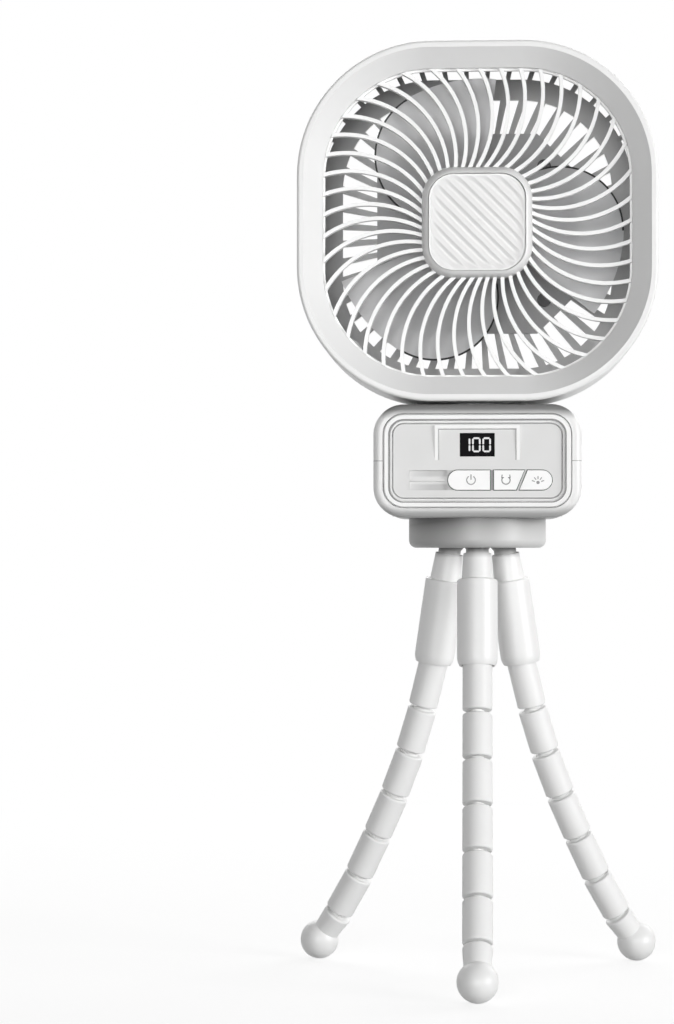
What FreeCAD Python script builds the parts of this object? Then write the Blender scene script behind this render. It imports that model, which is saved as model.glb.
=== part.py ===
import FreeCAD, Part
import math
import os
import re
import Sketcher
from FreeCAD import Rotation, Vector

# A portable fan: a rounded-square fan head that tilts on a turntable, a small control
# box below it, and a tripod of three legs whose links are joined by balls.
# Millimetres and degrees, +Z up, the fan faces -Y. The origin is on the floor, below the
# middle of the object's outline.

DIMENSIONS = {
    # tripod legs, from the ball at the hip down to the foot
    "leg_circle": 11.15,
    "hip_rise": 3.0,
    "hip_ball": 5.5,
    "hip_neck": 4.15,
    "hip_swing": 10.0,
    "cup_drop": 5.3,
    "cup_top": 5.1,
    "cup_foot": 5.75,
    "cup_length": 9.6,
    "core_radius": 5.0,
    "sleeve_radius": 7.4,
    "sleeve_length": 31.6,
    "sleeve_bore": 6.25,
    "sleeve_shoulder": 0.8,
    "sleeve_rounding": 3.2,
    "sleeve_lip": 0.3,
    "thigh_length": 45.9,
    "knee_length": 21.4,
    "link_length": 17.5,
    "link_radius": 5.4,
    "link_mouth": 2.8,
    "link_drop": 4.2,
    "link_rounding": 0.7,
    "link_ball": 4.4,
    "link_neck": 2.4,
    "ball_clearance": 0.08,
    "foot_length": 10.7,
    "foot_stub": 4.9,
    "foot_radius": 7.3,
    # how far each length of a leg leans out from upright
    "thigh_lean": 9.6,
    "knee_lean": 15.8,
    "lean_second": 19.2,
    "lean_third": 23.4,
    "lean_fourth": 26.6,
    "lean_fifth": 28.2,
    "lean_sixth": 32.7,
    "foot_lean": 39.0,
    # the round hub on which the box stands
    "hub_radius": 25.25,
    "hub_height": 10.8,
    "hub_rounding": 2.8,
    "hub_screw_offset": 18.0,
    "hub_screw_depth": 6.0,
    # the control box
    "box_height": 41.0,
    "box_depth": 56.0,
    "box_corner": 11.0,
    "box_wall": 2.2,
    "box_edge": 2.5,
    "panel_inset": 3.4,
    "panel_lip": 3.0,
    "panel_gap": 0.4,
    "panel_proud": 0.3,
    "panel_flange": 2.0,
    "panel_band": 1.6,
    "panel_groove": 0.45,
    "panel_groove_depth": 0.9,
    "panel_step": 0.5,
    "fascia_margin": 7.0,
    "fascia_height": 27.0,
    "fascia_corner": 4.2,
    "fascia_thickness": 2.2,
    "fascia_gap": 0.25,
    "fascia_ledge": 1.8,
    "fascia_sink": 0.3,
    "board_gap": 1.0,
    "board_thickness": 1.6,
    "board_margin": 0.5,
    "board_height": 30.0,
    "post_radius": 2.0,
    # display
    "display_width": 12.4,
    "display_height": 8.3,
    "display_rise": 5.8,
    "display_sink": 0.5,
    "display_gap": 0.1,
    "visor_width": 30.6,
    "visor_top": 12.8,
    "visor_foot": 0.3,
    "visor_wall": 1.2,
    "visor_proud": 0.9,
    "digit_height": 5.4,
    "digit_width": 3.1,
    "digit_stroke": 0.72,
    "digit_pitch": 3.7,
    "digit_shift": -0.32,
    "digit_slit": 0.18,
    "digit_proud": 0.06,
    # buttons
    "button_drop": 6.95,
    "button_height": 7.2,
    "button_left": 10.6,
    "button_margin": 3.6,
    "power_end": 4.6,
    "swing_start": 5.9,
    "swing_end": 15.5,
    "light_start": 16.55,
    "button_slant": 1.5,
    "button_proud": 0.7,
    "button_back": 2.4,
    "button_gap": 0.2,
    "button_travel": 0.4,
    "switch_width": 4.4,
    "trough_margin": 6.1,
    "trough_depth": 1.0,
    "trough_ridge": 0.7,
    # batteries, swing motor and charging socket
    "cell_radius": 9.2,
    "cell_length": 65.0,
    "cell_gap": 0.3,
    "cell_room": 2.8,
    "swing_motor_radius": 12.0,
    "swing_shaft_radius": 2.0,
    "swing_shaft_depth": 9.0,
    "shaft_clearance": 0.05,
    "socket_width": 8.9,
    "socket_height": 3.2,
    "socket_length": 7.3,
    "socket_wall": 0.35,
    "socket_tongue_width": 6.2,
    "socket_tongue_length": 5.8,
    "socket_tongue_height": 0.8,
    "socket_rise": 8.0,
    "base_post_side": 8.5,
    "base_post_back": 5.8,
    "base_post_radius": 3.0,
    "base_screw_length": 24.6,
    "screw_radius": 1.25,
    "screw_head": 2.6,
    "screw_head_height": 1.8,
    # turntable and tilt hinge
    "turntable_radius": 18.2,
    "turntable_gap": 0.4,
    "turntable_proud": 0.6,
    "turntable_sink": 1.6,
    "turntable_float": 0.3,
    "turntable_floor": 2.0,
    "stem_radius": 5.0,
    "stem_clearance": 0.08,
    "head_gap": 1.0,
    "lug_width": 24.0,
    "lug_radius": 4.5,
    "lug_clearance": 0.4,
    "pin_radius": 1.5,
    # the fan head
    "head_width": 130.0,
    "head_corner": 48.5,
    "head_wall": 2.2,
    "head_forward": 30.0,
    "front_depth": 26.0,
    "rear_depth": 22.0,
    "rear_rounding": 6.5,
    "front_rounding": 1.1,
    "rim_width": 2.4,
    "bezel_width": 6.6,
    "lip_thickness": 2.0,
    "head_post_radius": 4.4,
    "head_post_bite": 0.27,
    "hinge_bite": 0.25,
    "head_post_floor": 2.0,
    "head_screw_length": 27.0,
    "tongue_side": 0.5,
    "tongue_width": 12.0,
    "tongue_reach": 6.0,
    "tongue_thickness": 1.6,
    "tongue_gap": 0.15,
    # grille
    "grille_rim": 2.5,
    "grille_reach": 0.8,
    "grille_rim_depth": 1.8,
    "grille_gap": 0.15,
    "rib_count": 45.0,
    "rib_width": 1.35,
    "rib_depth": 3.5,
    "rib_arc": 34.8,
    "rib_centre": 48.5,
    "rib_bearing": 39.0,
    "rib_inner_sweep": 162.0,
    "rib_outer_sweep": 60.0,
    "hub_plate_width": 40.0,
    "hub_plate_corner": 11.5,
    "hub_plate_proud": 2.0,
    "hub_plate_depth": 7.4,
    "hub_plate_edge": 1.7,
    "hub_plate_floor": 2.4,
    # lamp
    "lamp_width": 34.9,
    "lamp_corner": 9.0,
    "lamp_thickness": 2.6,
    "lamp_sink": 0.6,
    "lamp_gap": 0.25,
    "lamp_board_width": 30.0,
    "lamp_board_thickness": 1.2,
    "lamp_chip": 2.8,
    "lamp_chip_pitch": 8.0,
    "lamp_chip_height": 0.5,
    # impeller and motor
    "impeller_gap": 0.8,
    "impeller_hub_radius": 20.0,
    "impeller_hub_depth": 15.0,
    "impeller_wall": 1.6,
    "blade_tip": 53.6,
    "blade_spare": 4.0,
    "blade_root": 14.0,
    "blade_thickness": 1.3,
    "blade_depth": 12.5,
    "blade_count": 3.0,
    "blade_bearing": -2.0,
    "blade_lead_radius": 23.8,
    "blade_lead_sweep": 54.0,
    "blade_trail_sweep": 35.5,
    "boss_radius": 4.0,
    "boss_depth": 10.0,
    "shaft_radius": 1.5,
    "motor_radius": 14.0,
    "motor_front": 26.5,
    "motor_bore_depth": 14.0,
    "motor_plate_width": 75.0,
    "motor_plate_cut": 15.0,
    "motor_plate_thickness": 1.8,
    "motor_screw_offset": 25.0,
    # rear guard
    "slot_count": 48.0,
    "slot_start": 33.0,
    "slot_inset": 14.5,
    "slot_share": 0.62,
    "window_start": 6.8,
    "window_end": 3.1,
    "window_share": 0.78,
}

# sizes that follow from the ones above, as formulas in the same sheet
FOLLOWING = {
    # the box is as wide as the cells that lie in it, and the panel is set in from its ends
    "box_width": "cell_length + 2 * cell_room + 2 * box_wall",
    "fascia_width": "box_width - 2 * fascia_margin",
    "board_width": "fascia_width - 2 * board_margin",
    "button_right": "fascia_width / 2 - button_margin",
    "trough_left": "fascia_width / 2 - trough_margin",
    "base_post_x": "box_width / 2 - base_post_side",
    # the bezel is all round the opening, and a post stands in each lower corner of the head
    "opening_width": "head_width - 2 * rim_width - 2 * bezel_width",
    "head_corner_reach": "(head_width / 2 - head_corner) * sqrt(2) + head_corner",
    "head_post_ring": "head_corner_reach - head_wall - head_post_radius + head_post_bite",
    # the tongues lie at the ends of the straight stretch of the head's top
    "tongue_offset": "head_width / 2 - head_corner - tongue_width / 2 - tongue_side",
}

doc = FreeCAD.newDocument("camping_fan")
sheet = doc.addObject("Spreadsheet::Sheet", "dims")
formulas = {alias: f"={formula}" for alias, formula in FOLLOWING.items()}
for row, (alias, content) in enumerate({**DIMENSIONS, **formulas}.items(), start=1):
    sheet.set(f"A{row}", alias)
    sheet.set(f"B{row}", str(content))
    sheet.setAlias(f"B{row}", alias)
doc.recompute()

PIECES = []


def bound(text):
    """The text of a size, with the sheet's name put before each alias, and with the
    coordinates of reference points taken as plain numbers."""
    aliases = re.sub(r"(?<![\w.])([a-z]\w*)(?![\w.(])", r"dims.\1", str(text))
    return re.sub(r"(?<![\w.])(\w+)\.([XYZ])(?!\w)", r"(\1.\2 / 1mm)", aliases)


def value(text):
    """What the text of a size comes to now."""
    result = sheet.evalExpression(bound(text))
    return float(getattr(result, "Value", result))


def tie(thing, **texts):
    """Bind properties to the sheet."""
    for name, text in texts.items():
        thing.setExpression(name, bound(text))
    return thing


def put(thing, x="0", y="0", z="0"):
    """Bind the place of an object to the sheet."""
    for axis, text in zip("xyz", (x, y, z)):
        thing.setExpression(f"Placement.Base.{axis}", bound(text))
    return thing


def turn_to(thing, direction):
    """Turn an object so that its own Z points along X, Y or Z."""
    turns = {"X": Rotation(Vector(0, 1, 0), 90), "Y": Rotation(Vector(1, 0, 0), -90), "Z": Rotation()}
    thing.Placement = FreeCAD.Placement(Vector(), turns[direction])
    return thing


def piece(name, thing):
    """Keep an object as a finished sub-part under its own name."""
    thing.Label = name
    PIECES.append(thing)
    return thing


def point(name, x, y, z):
    """A reference point that other objects are placed from."""
    return tie(doc.addObject("Part::Vertex", name), X=x, Y=y, Z=z)


def cylinder(radius, length, at, direction="Z"):
    """A round bar that starts at a place and runs along X, Y or Z."""
    thing = turn_to(doc.addObject("Part::Cylinder", "cylinder"), direction)
    return put(tie(thing, Radius=radius, Height=length), *at)


def cone(radius, end_radius, length, at):
    """An upright cone, by its lower and its upper radius."""
    thing = doc.addObject("Part::Cone", "cone")
    return put(tie(thing, Radius1=radius, Radius2=end_radius, Height=length), *at)


def sphere(radius, at):
    """A ball."""
    return put(tie(doc.addObject("Part::Sphere", "sphere"), Radius=radius), *at)


def block(width, depth, height, at):
    """A box whose middle in X is at the given place, and its front and bottom in Y and Z."""
    thing = tie(doc.addObject("Part::Box", "block"), Length=width, Width=depth, Height=height)
    x, y, z = at
    return put(thing, f"({x}) - ({width}) / 2", y, z)


def fuse(*things):
    """Several things joined into one."""
    thing = doc.addObject("Part::MultiFuse", "joined")
    thing.Shapes = list(things)
    return thing


def group(*things):
    """Separate solids kept together as one sub-part."""
    thing = doc.addObject("Part::Compound", "group")
    thing.Links = list(things)
    return thing


def cut(base, *tools):
    """A thing with others taken away from it."""
    thing = doc.addObject("Part::Cut", "cut")
    thing.Base = base
    thing.Tool = tools[0] if len(tools) == 1 else fuse(*tools)
    return thing


def common(*things):
    """What several things share."""
    thing = doc.addObject("Part::MultiCommon", "common")
    thing.Shapes = list(things)
    return thing


def new_body(name, x="0", y="0", z="0"):
    """A body at a place that is tied to the sheet."""
    return put(doc.addObject("PartDesign::Body", name), x, y, z)


def sketch_on(body, plane, offset="0", x="0", y="0"):
    """A sketch on one of the body's own planes, moved along the plane's normal and in it."""
    features = {feature.Role: feature for feature in body.Origin.OriginFeatures}
    sketch = body.newObject("Sketcher::SketchObject", "sketch")
    sketch.AttachmentSupport = [(features[plane], "")]
    sketch.MapMode = "FlatFace"
    for axis, text in zip("xyz", (x, y, offset)):
        sketch.setExpression(f"AttachmentOffset.Base.{axis}", bound(text))
    return sketch


def measure(sketch, text, *constraint):
    """A dimension of a sketch, tied to the sheet."""
    kind, *places = constraint
    number = sketch.addConstraint(Sketcher.Constraint(kind, *places, value(text)))
    sketch.setExpression(f"Constraints[{number}]", bound(text))


def rounded_square(sketch, width, height, corner):
    """A rectangle with round corners about the sketch's origin."""
    wide, high, soft = value(width) / 2, value(height) / 2, value(corner)
    first = sketch.GeometryCount
    turns = [(1, 1, 0), (-1, 1, 90), (-1, -1, 180), (1, -1, 270)]
    for side_x, side_z, start in turns:
        middle = Vector(side_x * (wide - soft), side_z * (high - soft), 0)
        circle = Part.Circle(middle, Vector(0, 0, 1), soft)
        arc = Part.ArcOfCircle(circle, math.radians(start), math.radians(start + 90))
        sketch.addGeometry(arc, False)
    ends = [
        (Vector(wide - soft, high), Vector(soft - wide, high)),
        (Vector(-wide, high - soft), Vector(-wide, soft - high)),
        (Vector(soft - wide, -high), Vector(wide - soft, -high)),
        (Vector(wide, soft - high), Vector(wide, high - soft)),
    ]
    for start, end in ends:
        sketch.addGeometry(Part.LineSegment(start, end), False)
    for side in range(4):
        arc, line, following = first + side, first + 4 + side, first + (side + 1) % 4
        sketch.addConstraint(Sketcher.Constraint("Tangent", arc, 2, line, 1))
        sketch.addConstraint(Sketcher.Constraint("Tangent", line, 2, following, 1))
        sketch.addConstraint(Sketcher.Constraint("Vertical" if side % 2 else "Horizontal", line))
    for side in range(1, 4):
        sketch.addConstraint(Sketcher.Constraint("Equal", first, first + side))
    sketch.addConstraint(Sketcher.Constraint("Symmetric", first, 3, first + 2, 3, -1, 1))
    measure(sketch, corner, "Radius", first)
    measure(sketch, width, "DistanceX", first + 5, 1, first + 7, 1)
    measure(sketch, height, "DistanceY", first + 6, 1, first + 4, 1)
    return sketch


def round_hole(sketch, radius, x="0", y="0"):
    """A circle at a place in the sketch."""
    middle = Vector(value(x), value(y), 0)
    number = sketch.addGeometry(Part.Circle(middle, Vector(0, 0, 1), value(radius)), False)
    measure(sketch, radius, "Radius", number)
    measure(sketch, x, "DistanceX", -1, 1, number, 3)
    measure(sketch, y, "DistanceY", -1, 1, number, 3)
    return sketch


def outline(sketch, *path):
    """A closed outline. A pair is a corner; a triple "arc", x, y between two corners joins them
    by the shorter arc about that centre."""
    corners = [step for step in path if step[0] != "arc"]
    spots = [Vector(value(x), value(y), 0) for x, y in corners]
    edges = []
    number = -1
    for index, step in enumerate(path):
        if step[0] == "arc":
            continue
        number += 1
        start, end = spots[number], spots[(number + 1) % len(spots)]
        following = path[(index + 1) % len(path)]
        if following[0] != "arc":
            edges.append((sketch.addGeometry(Part.LineSegment(start, end), False), 1, 2))
            continue
        middle = Vector(value(following[1]), value(following[2]), 0)
        from_angle = math.atan2(start.y - middle.y, start.x - middle.x)
        to_angle = math.atan2(end.y - middle.y, end.x - middle.x)
        circle = Part.Circle(middle, Vector(0, 0, 1), start.distanceToPoint(middle))
        forward = (to_angle - from_angle) % (2 * math.pi) <= math.pi
        span = (from_angle, to_angle) if forward else (to_angle, from_angle)
        edge = sketch.addGeometry(Part.ArcOfCircle(circle, *span), False)
        edges.append((edge, 1, 2) if forward else (edge, 2, 1))
        if abs(start.y - end.y) > abs(start.x - end.x):
            measure(sketch, following[1], "DistanceX", -1, 1, edge, 3)
        else:
            measure(sketch, following[2], "DistanceY", -1, 1, edge, 3)
    for number, (edge, first_end, last_end) in enumerate(edges):
        following, its_start, _ = edges[(number + 1) % len(edges)]
        sketch.addConstraint(Sketcher.Constraint("Coincident", edge, last_end, following, its_start))
        x, y = corners[number]
        measure(sketch, x, "DistanceX", -1, 1, edge, first_end)
        measure(sketch, y, "DistanceY", -1, 1, edge, first_end)
    return sketch


def raise_pad(body, sketch, length, backwards=True):
    """Thicken a sketch. Backwards is away from the side that its plane faces."""
    pad = body.newObject("PartDesign::Pad", "pad")
    pad.Profile = sketch
    pad.Reversed = backwards
    tie(pad, Length=length)
    sketch.Visibility = False
    body.Tip = pad
    return pad


def sink_pocket(body, sketch, length, backwards=True):
    """Cut a sketch out of the body. Backwards is away from the side that its plane faces."""
    pocket = body.newObject("PartDesign::Pocket", "pocket")
    pocket.Profile = sketch
    pocket.Reversed = not backwards
    tie(pocket, Length=length)
    body.Tip = pocket
    return pocket


def repeat_round(body, feature, sketch, count):
    """Repeat a feature about the normal of its sketch."""
    pattern = body.newObject("PartDesign::PolarPattern", "pattern")
    pattern.Originals = [feature]
    pattern.Axis = (sketch, ["N_Axis"])
    pattern.Angle = 360
    tie(pattern, Occurrences=count)
    body.Tip = pattern
    return pattern


def edges_where(feature, test):
    """The names of a feature's edges whose middle passes the test."""
    doc.recompute()
    names = []
    for number, edge in enumerate(feature.Shape.Edges, start=1):
        if test(edge.CenterOfMass, edge.BoundBox):
            names.append(f"Edge{number}")
    return names


def soften(body, feature, radius, test, kind="Fillet"):
    """Round or bevel the edges that pass the test."""
    softened = body.newObject(f"PartDesign::{kind}", kind.lower())
    softened.Base = (feature, edges_where(feature, test))
    tie(softened, **{"Radius" if kind == "Fillet" else "Size": radius})
    body.Tip = softened
    return softened


def turned(name, *path):
    """A body of revolution about its own Z, from half of its section: radius, height."""
    body = new_body(name)
    sketch = outline(sketch_on(body, "XZ_Plane"), *path)
    revolution = body.newObject("PartDesign::Revolution", "revolution")
    revolution.Profile = sketch
    revolution.ReferenceAxis = (sketch, ["V_Axis"])
    revolution.Angle = 360
    body.Tip = revolution
    return body


def chord(radius, height):
    """How wide a ball is at a height above its middle."""
    return f"sqrt(pow({radius}; 2) - pow({height}; 2))"


# The legs: eight ball joints each. The lengths of a leg and their leans set the height at
# which the hub stands, because the foot's ball rests on the floor.

LENGTHS = ["thigh_length", "knee_length"] + ["link_length"] * 5 + ["foot_length"]
LEANS = [
    "thigh_lean", "knee_lean", "lean_second", "lean_third",
    "lean_fourth", "lean_fifth", "lean_sixth", "foot_lean",
]
LEG_BEARINGS = {"front": -90, "right": 30, "left": 150}

drops = " + ".join(f"{length} * cos({lean})" for length, lean in zip(LENGTHS, LEANS))
runs = " + ".join(f"{length} * sin({lean})" for length, lean in zip(LENGTHS, LEANS))
reach = f"leg_circle + {runs}"

# tripod is the middle of the hub's underside; the outline's middle in Y is a quarter of
# the feet's reach in front of it
point("tripod", "0", f"({reach}) / 4", f"foot_radius + {drops} - hip_rise")
doc.recompute()
point("box_floor", "0", "tripod.Y", "tripod.Z + hub_height")
doc.recompute()
point("box_middle", "0", "tripod.Y", "box_floor.Z + box_height / 2")
doc.recompute()
point("box_top", "0", "tripod.Y", "box_floor.Z + box_height")
doc.recompute()
point("head_front", "0", "tripod.Y - head_forward", "box_top.Z + head_gap + head_width / 2")
doc.recompute()
point(
    "tilt",
    "0",
    "head_front.Y + front_depth + rear_depth - rear_rounding",
    "box_top.Z + head_gap + rear_rounding",
)
doc.recompute()


def lean_out(thing, bearing, joint):
    """Hang a leg's piece from one of its joints, leaning out like that length of the leg."""
    out = ["leg_circle"] + [f"{LENGTHS[n]} * sin({LEANS[n]})" for n in range(joint)]
    down = ["0"] + [f"{LENGTHS[n]} * cos({LEANS[n]})" for n in range(joint)]
    radius, fall = " + ".join(out), " + ".join(down)
    along, across = math.cos(math.radians(bearing)), math.sin(math.radians(bearing))
    thing.Placement = FreeCAD.Placement(Vector(), Rotation(Vector(across, -along, 0), 1))
    put(
        thing,
        f"({radius}) * cos({bearing})",
        f"tripod.Y + ({radius}) * sin({bearing})",
        f"tripod.Z + hip_rise - ({fall})",
    )
    thing.setExpression("Placement.Rotation.Angle", bound(LEANS[joint]))
    return thing


socket = "(link_ball + ball_clearance)"


def ball_end(bottom, length):
    """The half section of a link's lower end: its flat, its neck and its ball."""
    return [
        ("link_neck", bottom),
        ("link_neck", f"{chord('link_ball', 'link_neck')} - {length}"),
        ("arc", "0", f"-{length}"),
        ("0", f"-{length} - link_ball"),
    ]


def thigh_core(side):
    """The cup under the hub: the hip's ball, its neck, the cup, and the rod in the sleeve."""
    flat = "link_drop - thigh_length"
    shoulder = "-cup_drop - cup_length"
    return turned(
        f"{side}_thigh_core",
        ("0", "hip_ball"),
        ("arc", "0", "0"),
        ("hip_neck", f"-{chord('hip_ball', 'hip_neck')}"),
        ("hip_neck", "-cup_drop"),
        ("cup_top", "-cup_drop"),
        ("cup_foot", shoulder),
        ("core_radius", shoulder),
        ("core_radius", flat),
        *ball_end(flat, "thigh_length"),
    )


def thigh_sleeve(side):
    """The thick sleeve over the rod, open below where the first link swings."""
    top = "-cup_drop - cup_length"
    foot = f"{top} - sleeve_length"
    flat = "link_drop - thigh_length"
    # the foot of the sleeve draws in by this much, along an arc of this radius
    inset = "(sleeve_radius - sleeve_bore - sleeve_lip)"
    curve = f"(({inset} * {inset} + sleeve_rounding * sleeve_rounding) / (2 * {inset}))"
    return turned(
        f"{side}_thigh_sleeve",
        ("core_radius", top),
        ("sleeve_radius - sleeve_shoulder", top),
        ("arc", "sleeve_radius - sleeve_shoulder", f"{top} - sleeve_shoulder"),
        ("sleeve_radius", f"{top} - sleeve_shoulder"),
        ("sleeve_radius", f"{foot} + sleeve_rounding"),
        ("arc", f"sleeve_radius - {curve}", f"{foot} + sleeve_rounding"),
        ("sleeve_bore + sleeve_lip", foot),
        ("sleeve_bore", foot),
        ("sleeve_bore", flat),
        ("core_radius", flat),
    )


def socket_start():
    """The half section of a link's socket and rounded top edge."""
    edge = "link_radius - link_rounding"
    return [
        ("0", f"-{socket}"),
        ("arc", "0", "0"),
        (chord(socket, "link_mouth"), "link_mouth"),
        (edge, "link_mouth"),
        ("arc", edge, "link_mouth - link_rounding"),
        ("link_radius", "link_mouth - link_rounding"),
    ]


def link(side, name, length):
    """One link: a socket above, a ball below."""
    bottom = f"link_drop - {length}"
    return turned(
        f"{side}_{name}",
        *socket_start(),
        ("link_radius", f"{bottom} + link_rounding"),
        ("arc", "link_radius - link_rounding", f"{bottom} + link_rounding"),
        ("link_radius - link_rounding", bottom),
        *ball_end(bottom, length),
    )


def foot(side):
    """The last link, which ends in the ball that stands on the floor."""
    return turned(
        f"{side}_foot",
        *socket_start(),
        ("foot_stub", f"{chord('foot_radius', 'foot_stub')} - foot_length"),
        ("arc", "0", "-foot_length"),
        ("0", "-foot_length - foot_radius"),
    )


LINK_NAMES = ["link_first", "link_second", "link_third", "link_fourth", "link_fifth", "link_sixth"]

for side, bearing in LEG_BEARINGS.items():
    piece(f"{side}_thigh_core", lean_out(thigh_core(side), bearing, 0))
    piece(f"{side}_thigh_sleeve", lean_out(thigh_sleeve(side), bearing, 0))
    for joint, name in enumerate(LINK_NAMES, start=1):
        piece(f"{side}_{name}", lean_out(link(side, name, LENGTHS[joint]), bearing, joint))
    piece(f"{side}_foot", lean_out(foot(side), bearing, 7))


# The hub: a round block with three sockets for the hips' balls. Each mouth flares around
# the leg's lean, so that the leg can swing.

def hip_socket(bearing):
    """The space for one hip's ball and for the swing of its neck."""
    ball = sphere("hip_ball + ball_clearance", ("0", "0", "0"))
    # the neck leaves its ball at this depth when the leg is swung out
    start = f"({chord('hip_ball', 'hip_neck')} * cos(hip_swing) - hip_neck * sin(hip_swing))"
    flare = f"hip_neck / cos(hip_swing) + ball_clearance + ({start}) * tan(hip_swing)"
    end = "hip_rise + hip_ball"
    wide = f"hip_neck / cos(hip_swing) + ball_clearance + ({end}) * tan(hip_swing)"
    mouth = cone(wide, flare, f"({end}) - ({start})", ("0", "0", f"-({end})"))
    return lean_out(fuse(ball, mouth), bearing, 0)


hub_form = turned(
    "hub_form",
    ("0", "tripod.Z"),
    ("hub_radius - hub_rounding", "tripod.Z"),
    ("arc", "hub_radius - hub_rounding", "tripod.Z + hub_rounding"),
    ("hub_radius", "tripod.Z + hub_rounding"),
    ("hub_radius", "box_floor.Z"),
    ("0", "box_floor.Z"),
)
put(hub_form, "0", "tripod.Y", "0")


def hub_screw_place(side, z):
    """The place of one of the two screws between the hub and the box."""
    return (f"{side} * hub_screw_offset", "tripod.Y", z)


hub_screw_bores = [
    cylinder("screw_radius", "hub_screw_depth", hub_screw_place(side, "box_floor.Z - hub_screw_depth"))
    for side in (-1, 1)
]
hip_sockets = [hip_socket(bearing) for bearing in LEG_BEARINGS.values()]
piece("tripod_hub", cut(hub_form, *hip_sockets, *hub_screw_bores))

hub_screws = []
for side in (-1, 1):
    shank = cylinder(
        "screw_radius", "hub_screw_depth + box_wall",
        hub_screw_place(side, "box_floor.Z - hub_screw_depth"),
    )
    head = cylinder("screw_head", "screw_head_height", hub_screw_place(side, "box_floor.Z + box_wall"))
    hub_screws.append(fuse(shank, head))
piece("hub_screws", group(*hub_screws))


# The control box: one rounded casing, parted at mid height into an upper and a lower shell.
# The body's own Y runs from the front of the box, at 0, to its back.

box_front = "tripod.Y - box_depth / 2"
recess_floor = "box_top.Z - turntable_sink - turntable_float"
boss_floor = f"({recess_floor}) - turntable_floor"

casing_body = new_body("casing", "0", box_front, "box_middle.Z")
casing_sketch = sketch_on(casing_body, "XZ_Plane")
rounded_square(casing_sketch, "box_width", "box_height", "box_corner")
casing_pad = raise_pad(casing_body, casing_sketch, "box_depth")
soften(
    casing_body, casing_pad, "box_edge",
    lambda middle, box: box.YLength < 0.01,
)
cavity_sketch = sketch_on(casing_body, "XZ_Plane", "-panel_lip")
rounded_square(
    cavity_sketch, "box_width - 2 * box_wall", "box_height - 2 * box_wall", "box_corner - box_wall"
)
sink_pocket(casing_body, cavity_sketch, "box_depth - panel_lip - box_wall")
opening_sketch = sketch_on(casing_body, "XZ_Plane")
rounded_square(
    opening_sketch,
    "box_width - 2 * panel_inset", "box_height - 2 * panel_inset", "box_corner - panel_inset",
)
sink_pocket(casing_body, opening_sketch, "panel_lip")

post_y = "tripod.Y + box_depth / 2 - base_post_back"
boss = cylinder(
    "turntable_radius + turntable_gap + box_wall",
    f"box_top.Z - box_wall / 2 - ({boss_floor})",
    ("0", "tripod.Y", boss_floor),
)
base_posts = [
    cylinder(
        "base_post_radius", "box_height - box_wall",
        (f"{side} * base_post_x", post_y, "box_floor.Z + box_wall / 2"),
    )
    for side in (-1, 1)
]
casing_solid = common(
    fuse(casing_body, boss, *base_posts),
    block("box_width", "box_depth", "box_height", ("0", box_front, "box_floor.Z")),
)
recess = cylinder(
    "turntable_radius + turntable_gap", "turntable_sink + turntable_float + head_gap",
    ("0", "tripod.Y", recess_floor),
)
stem_hole = cylinder(
    "stem_radius + stem_clearance", "box_wall + turntable_floor + head_gap",
    ("0", "tripod.Y", f"({boss_floor}) - box_wall / 2"),
)
hub_screw_holes = [
    cylinder("screw_radius", "box_wall", hub_screw_place(side, "box_floor.Z")) for side in (-1, 1)
]


def base_screw_parts(side):
    """One long screw that holds the two shells together, from below."""
    x = f"{side} * base_post_x"
    head_at = (x, post_y, "box_floor.Z + box_wall / 2")
    shank_at = (x, post_y, "box_floor.Z + box_wall / 2 + screw_head_height")
    head = cylinder("screw_head", "screw_head_height", head_at)
    shank = cylinder("screw_radius", "base_screw_length", shank_at)
    return fuse(head, shank)


base_screws = [base_screw_parts(side) for side in (-1, 1)]
base_screw_wells = [
    cylinder("screw_head", "box_wall", (f"{side} * base_post_x", post_y, "box_floor.Z - box_wall / 2"))
    for side in (-1, 1)
]


def stadium(width, height, length, at):
    """A flat bar with round ends, along Y."""
    x, y, z = at
    core = block(f"({width}) - ({height})", length, height, (x, y, f"({z}) - ({height}) / 2"))
    ends = [
        cylinder(f"({height}) / 2", length, (f"({x}) + {side} * (({width}) - ({height})) / 2", y, z), "Y")
        for side in (-1, 1)
    ]
    return fuse(core, *ends)


socket_z = "box_middle.Z + socket_rise"
box_back = "tripod.Y + box_depth / 2"
port_hole = stadium(
    "socket_width + 2 * display_gap", "socket_height + 2 * display_gap", "2 * box_wall",
    ("0", f"{box_back} - 1.5 * box_wall", socket_z),
)
casing = cut(
    casing_solid, recess, stem_hole, *hub_screw_holes, *base_screws, *base_screw_wells, port_hole
)
upper_half = block("2 * box_width", "2 * box_depth", "box_height", ("0", box_front, "box_middle.Z"))
lower_half = block(
    "2 * box_width", "2 * box_depth", "box_height", ("0", box_front, "box_middle.Z - box_height")
)
piece("box_upper_shell", common(casing, upper_half))
piece("box_lower_shell", common(casing, lower_half))
piece("box_screws", group(*base_screws))

# The panel in the front of the box: a stepped frame, and the fascia that it carries.
# Y is 0 at the front of the box.

flange_inset = "box_wall + panel_gap / 2"
frame_inset = "(panel_inset + panel_gap)"
inner_inset = f"({frame_inset} + panel_band + panel_groove)"
fascia_hole_width = "fascia_width + 2 * fascia_gap"
fascia_hole_height = "fascia_height + 2 * fascia_gap"
fascia_front = "fascia_sink + panel_step"
ledge_front = f"({fascia_front} + fascia_thickness)"
flange_back = f"({ledge_front} + panel_flange)"

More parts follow.
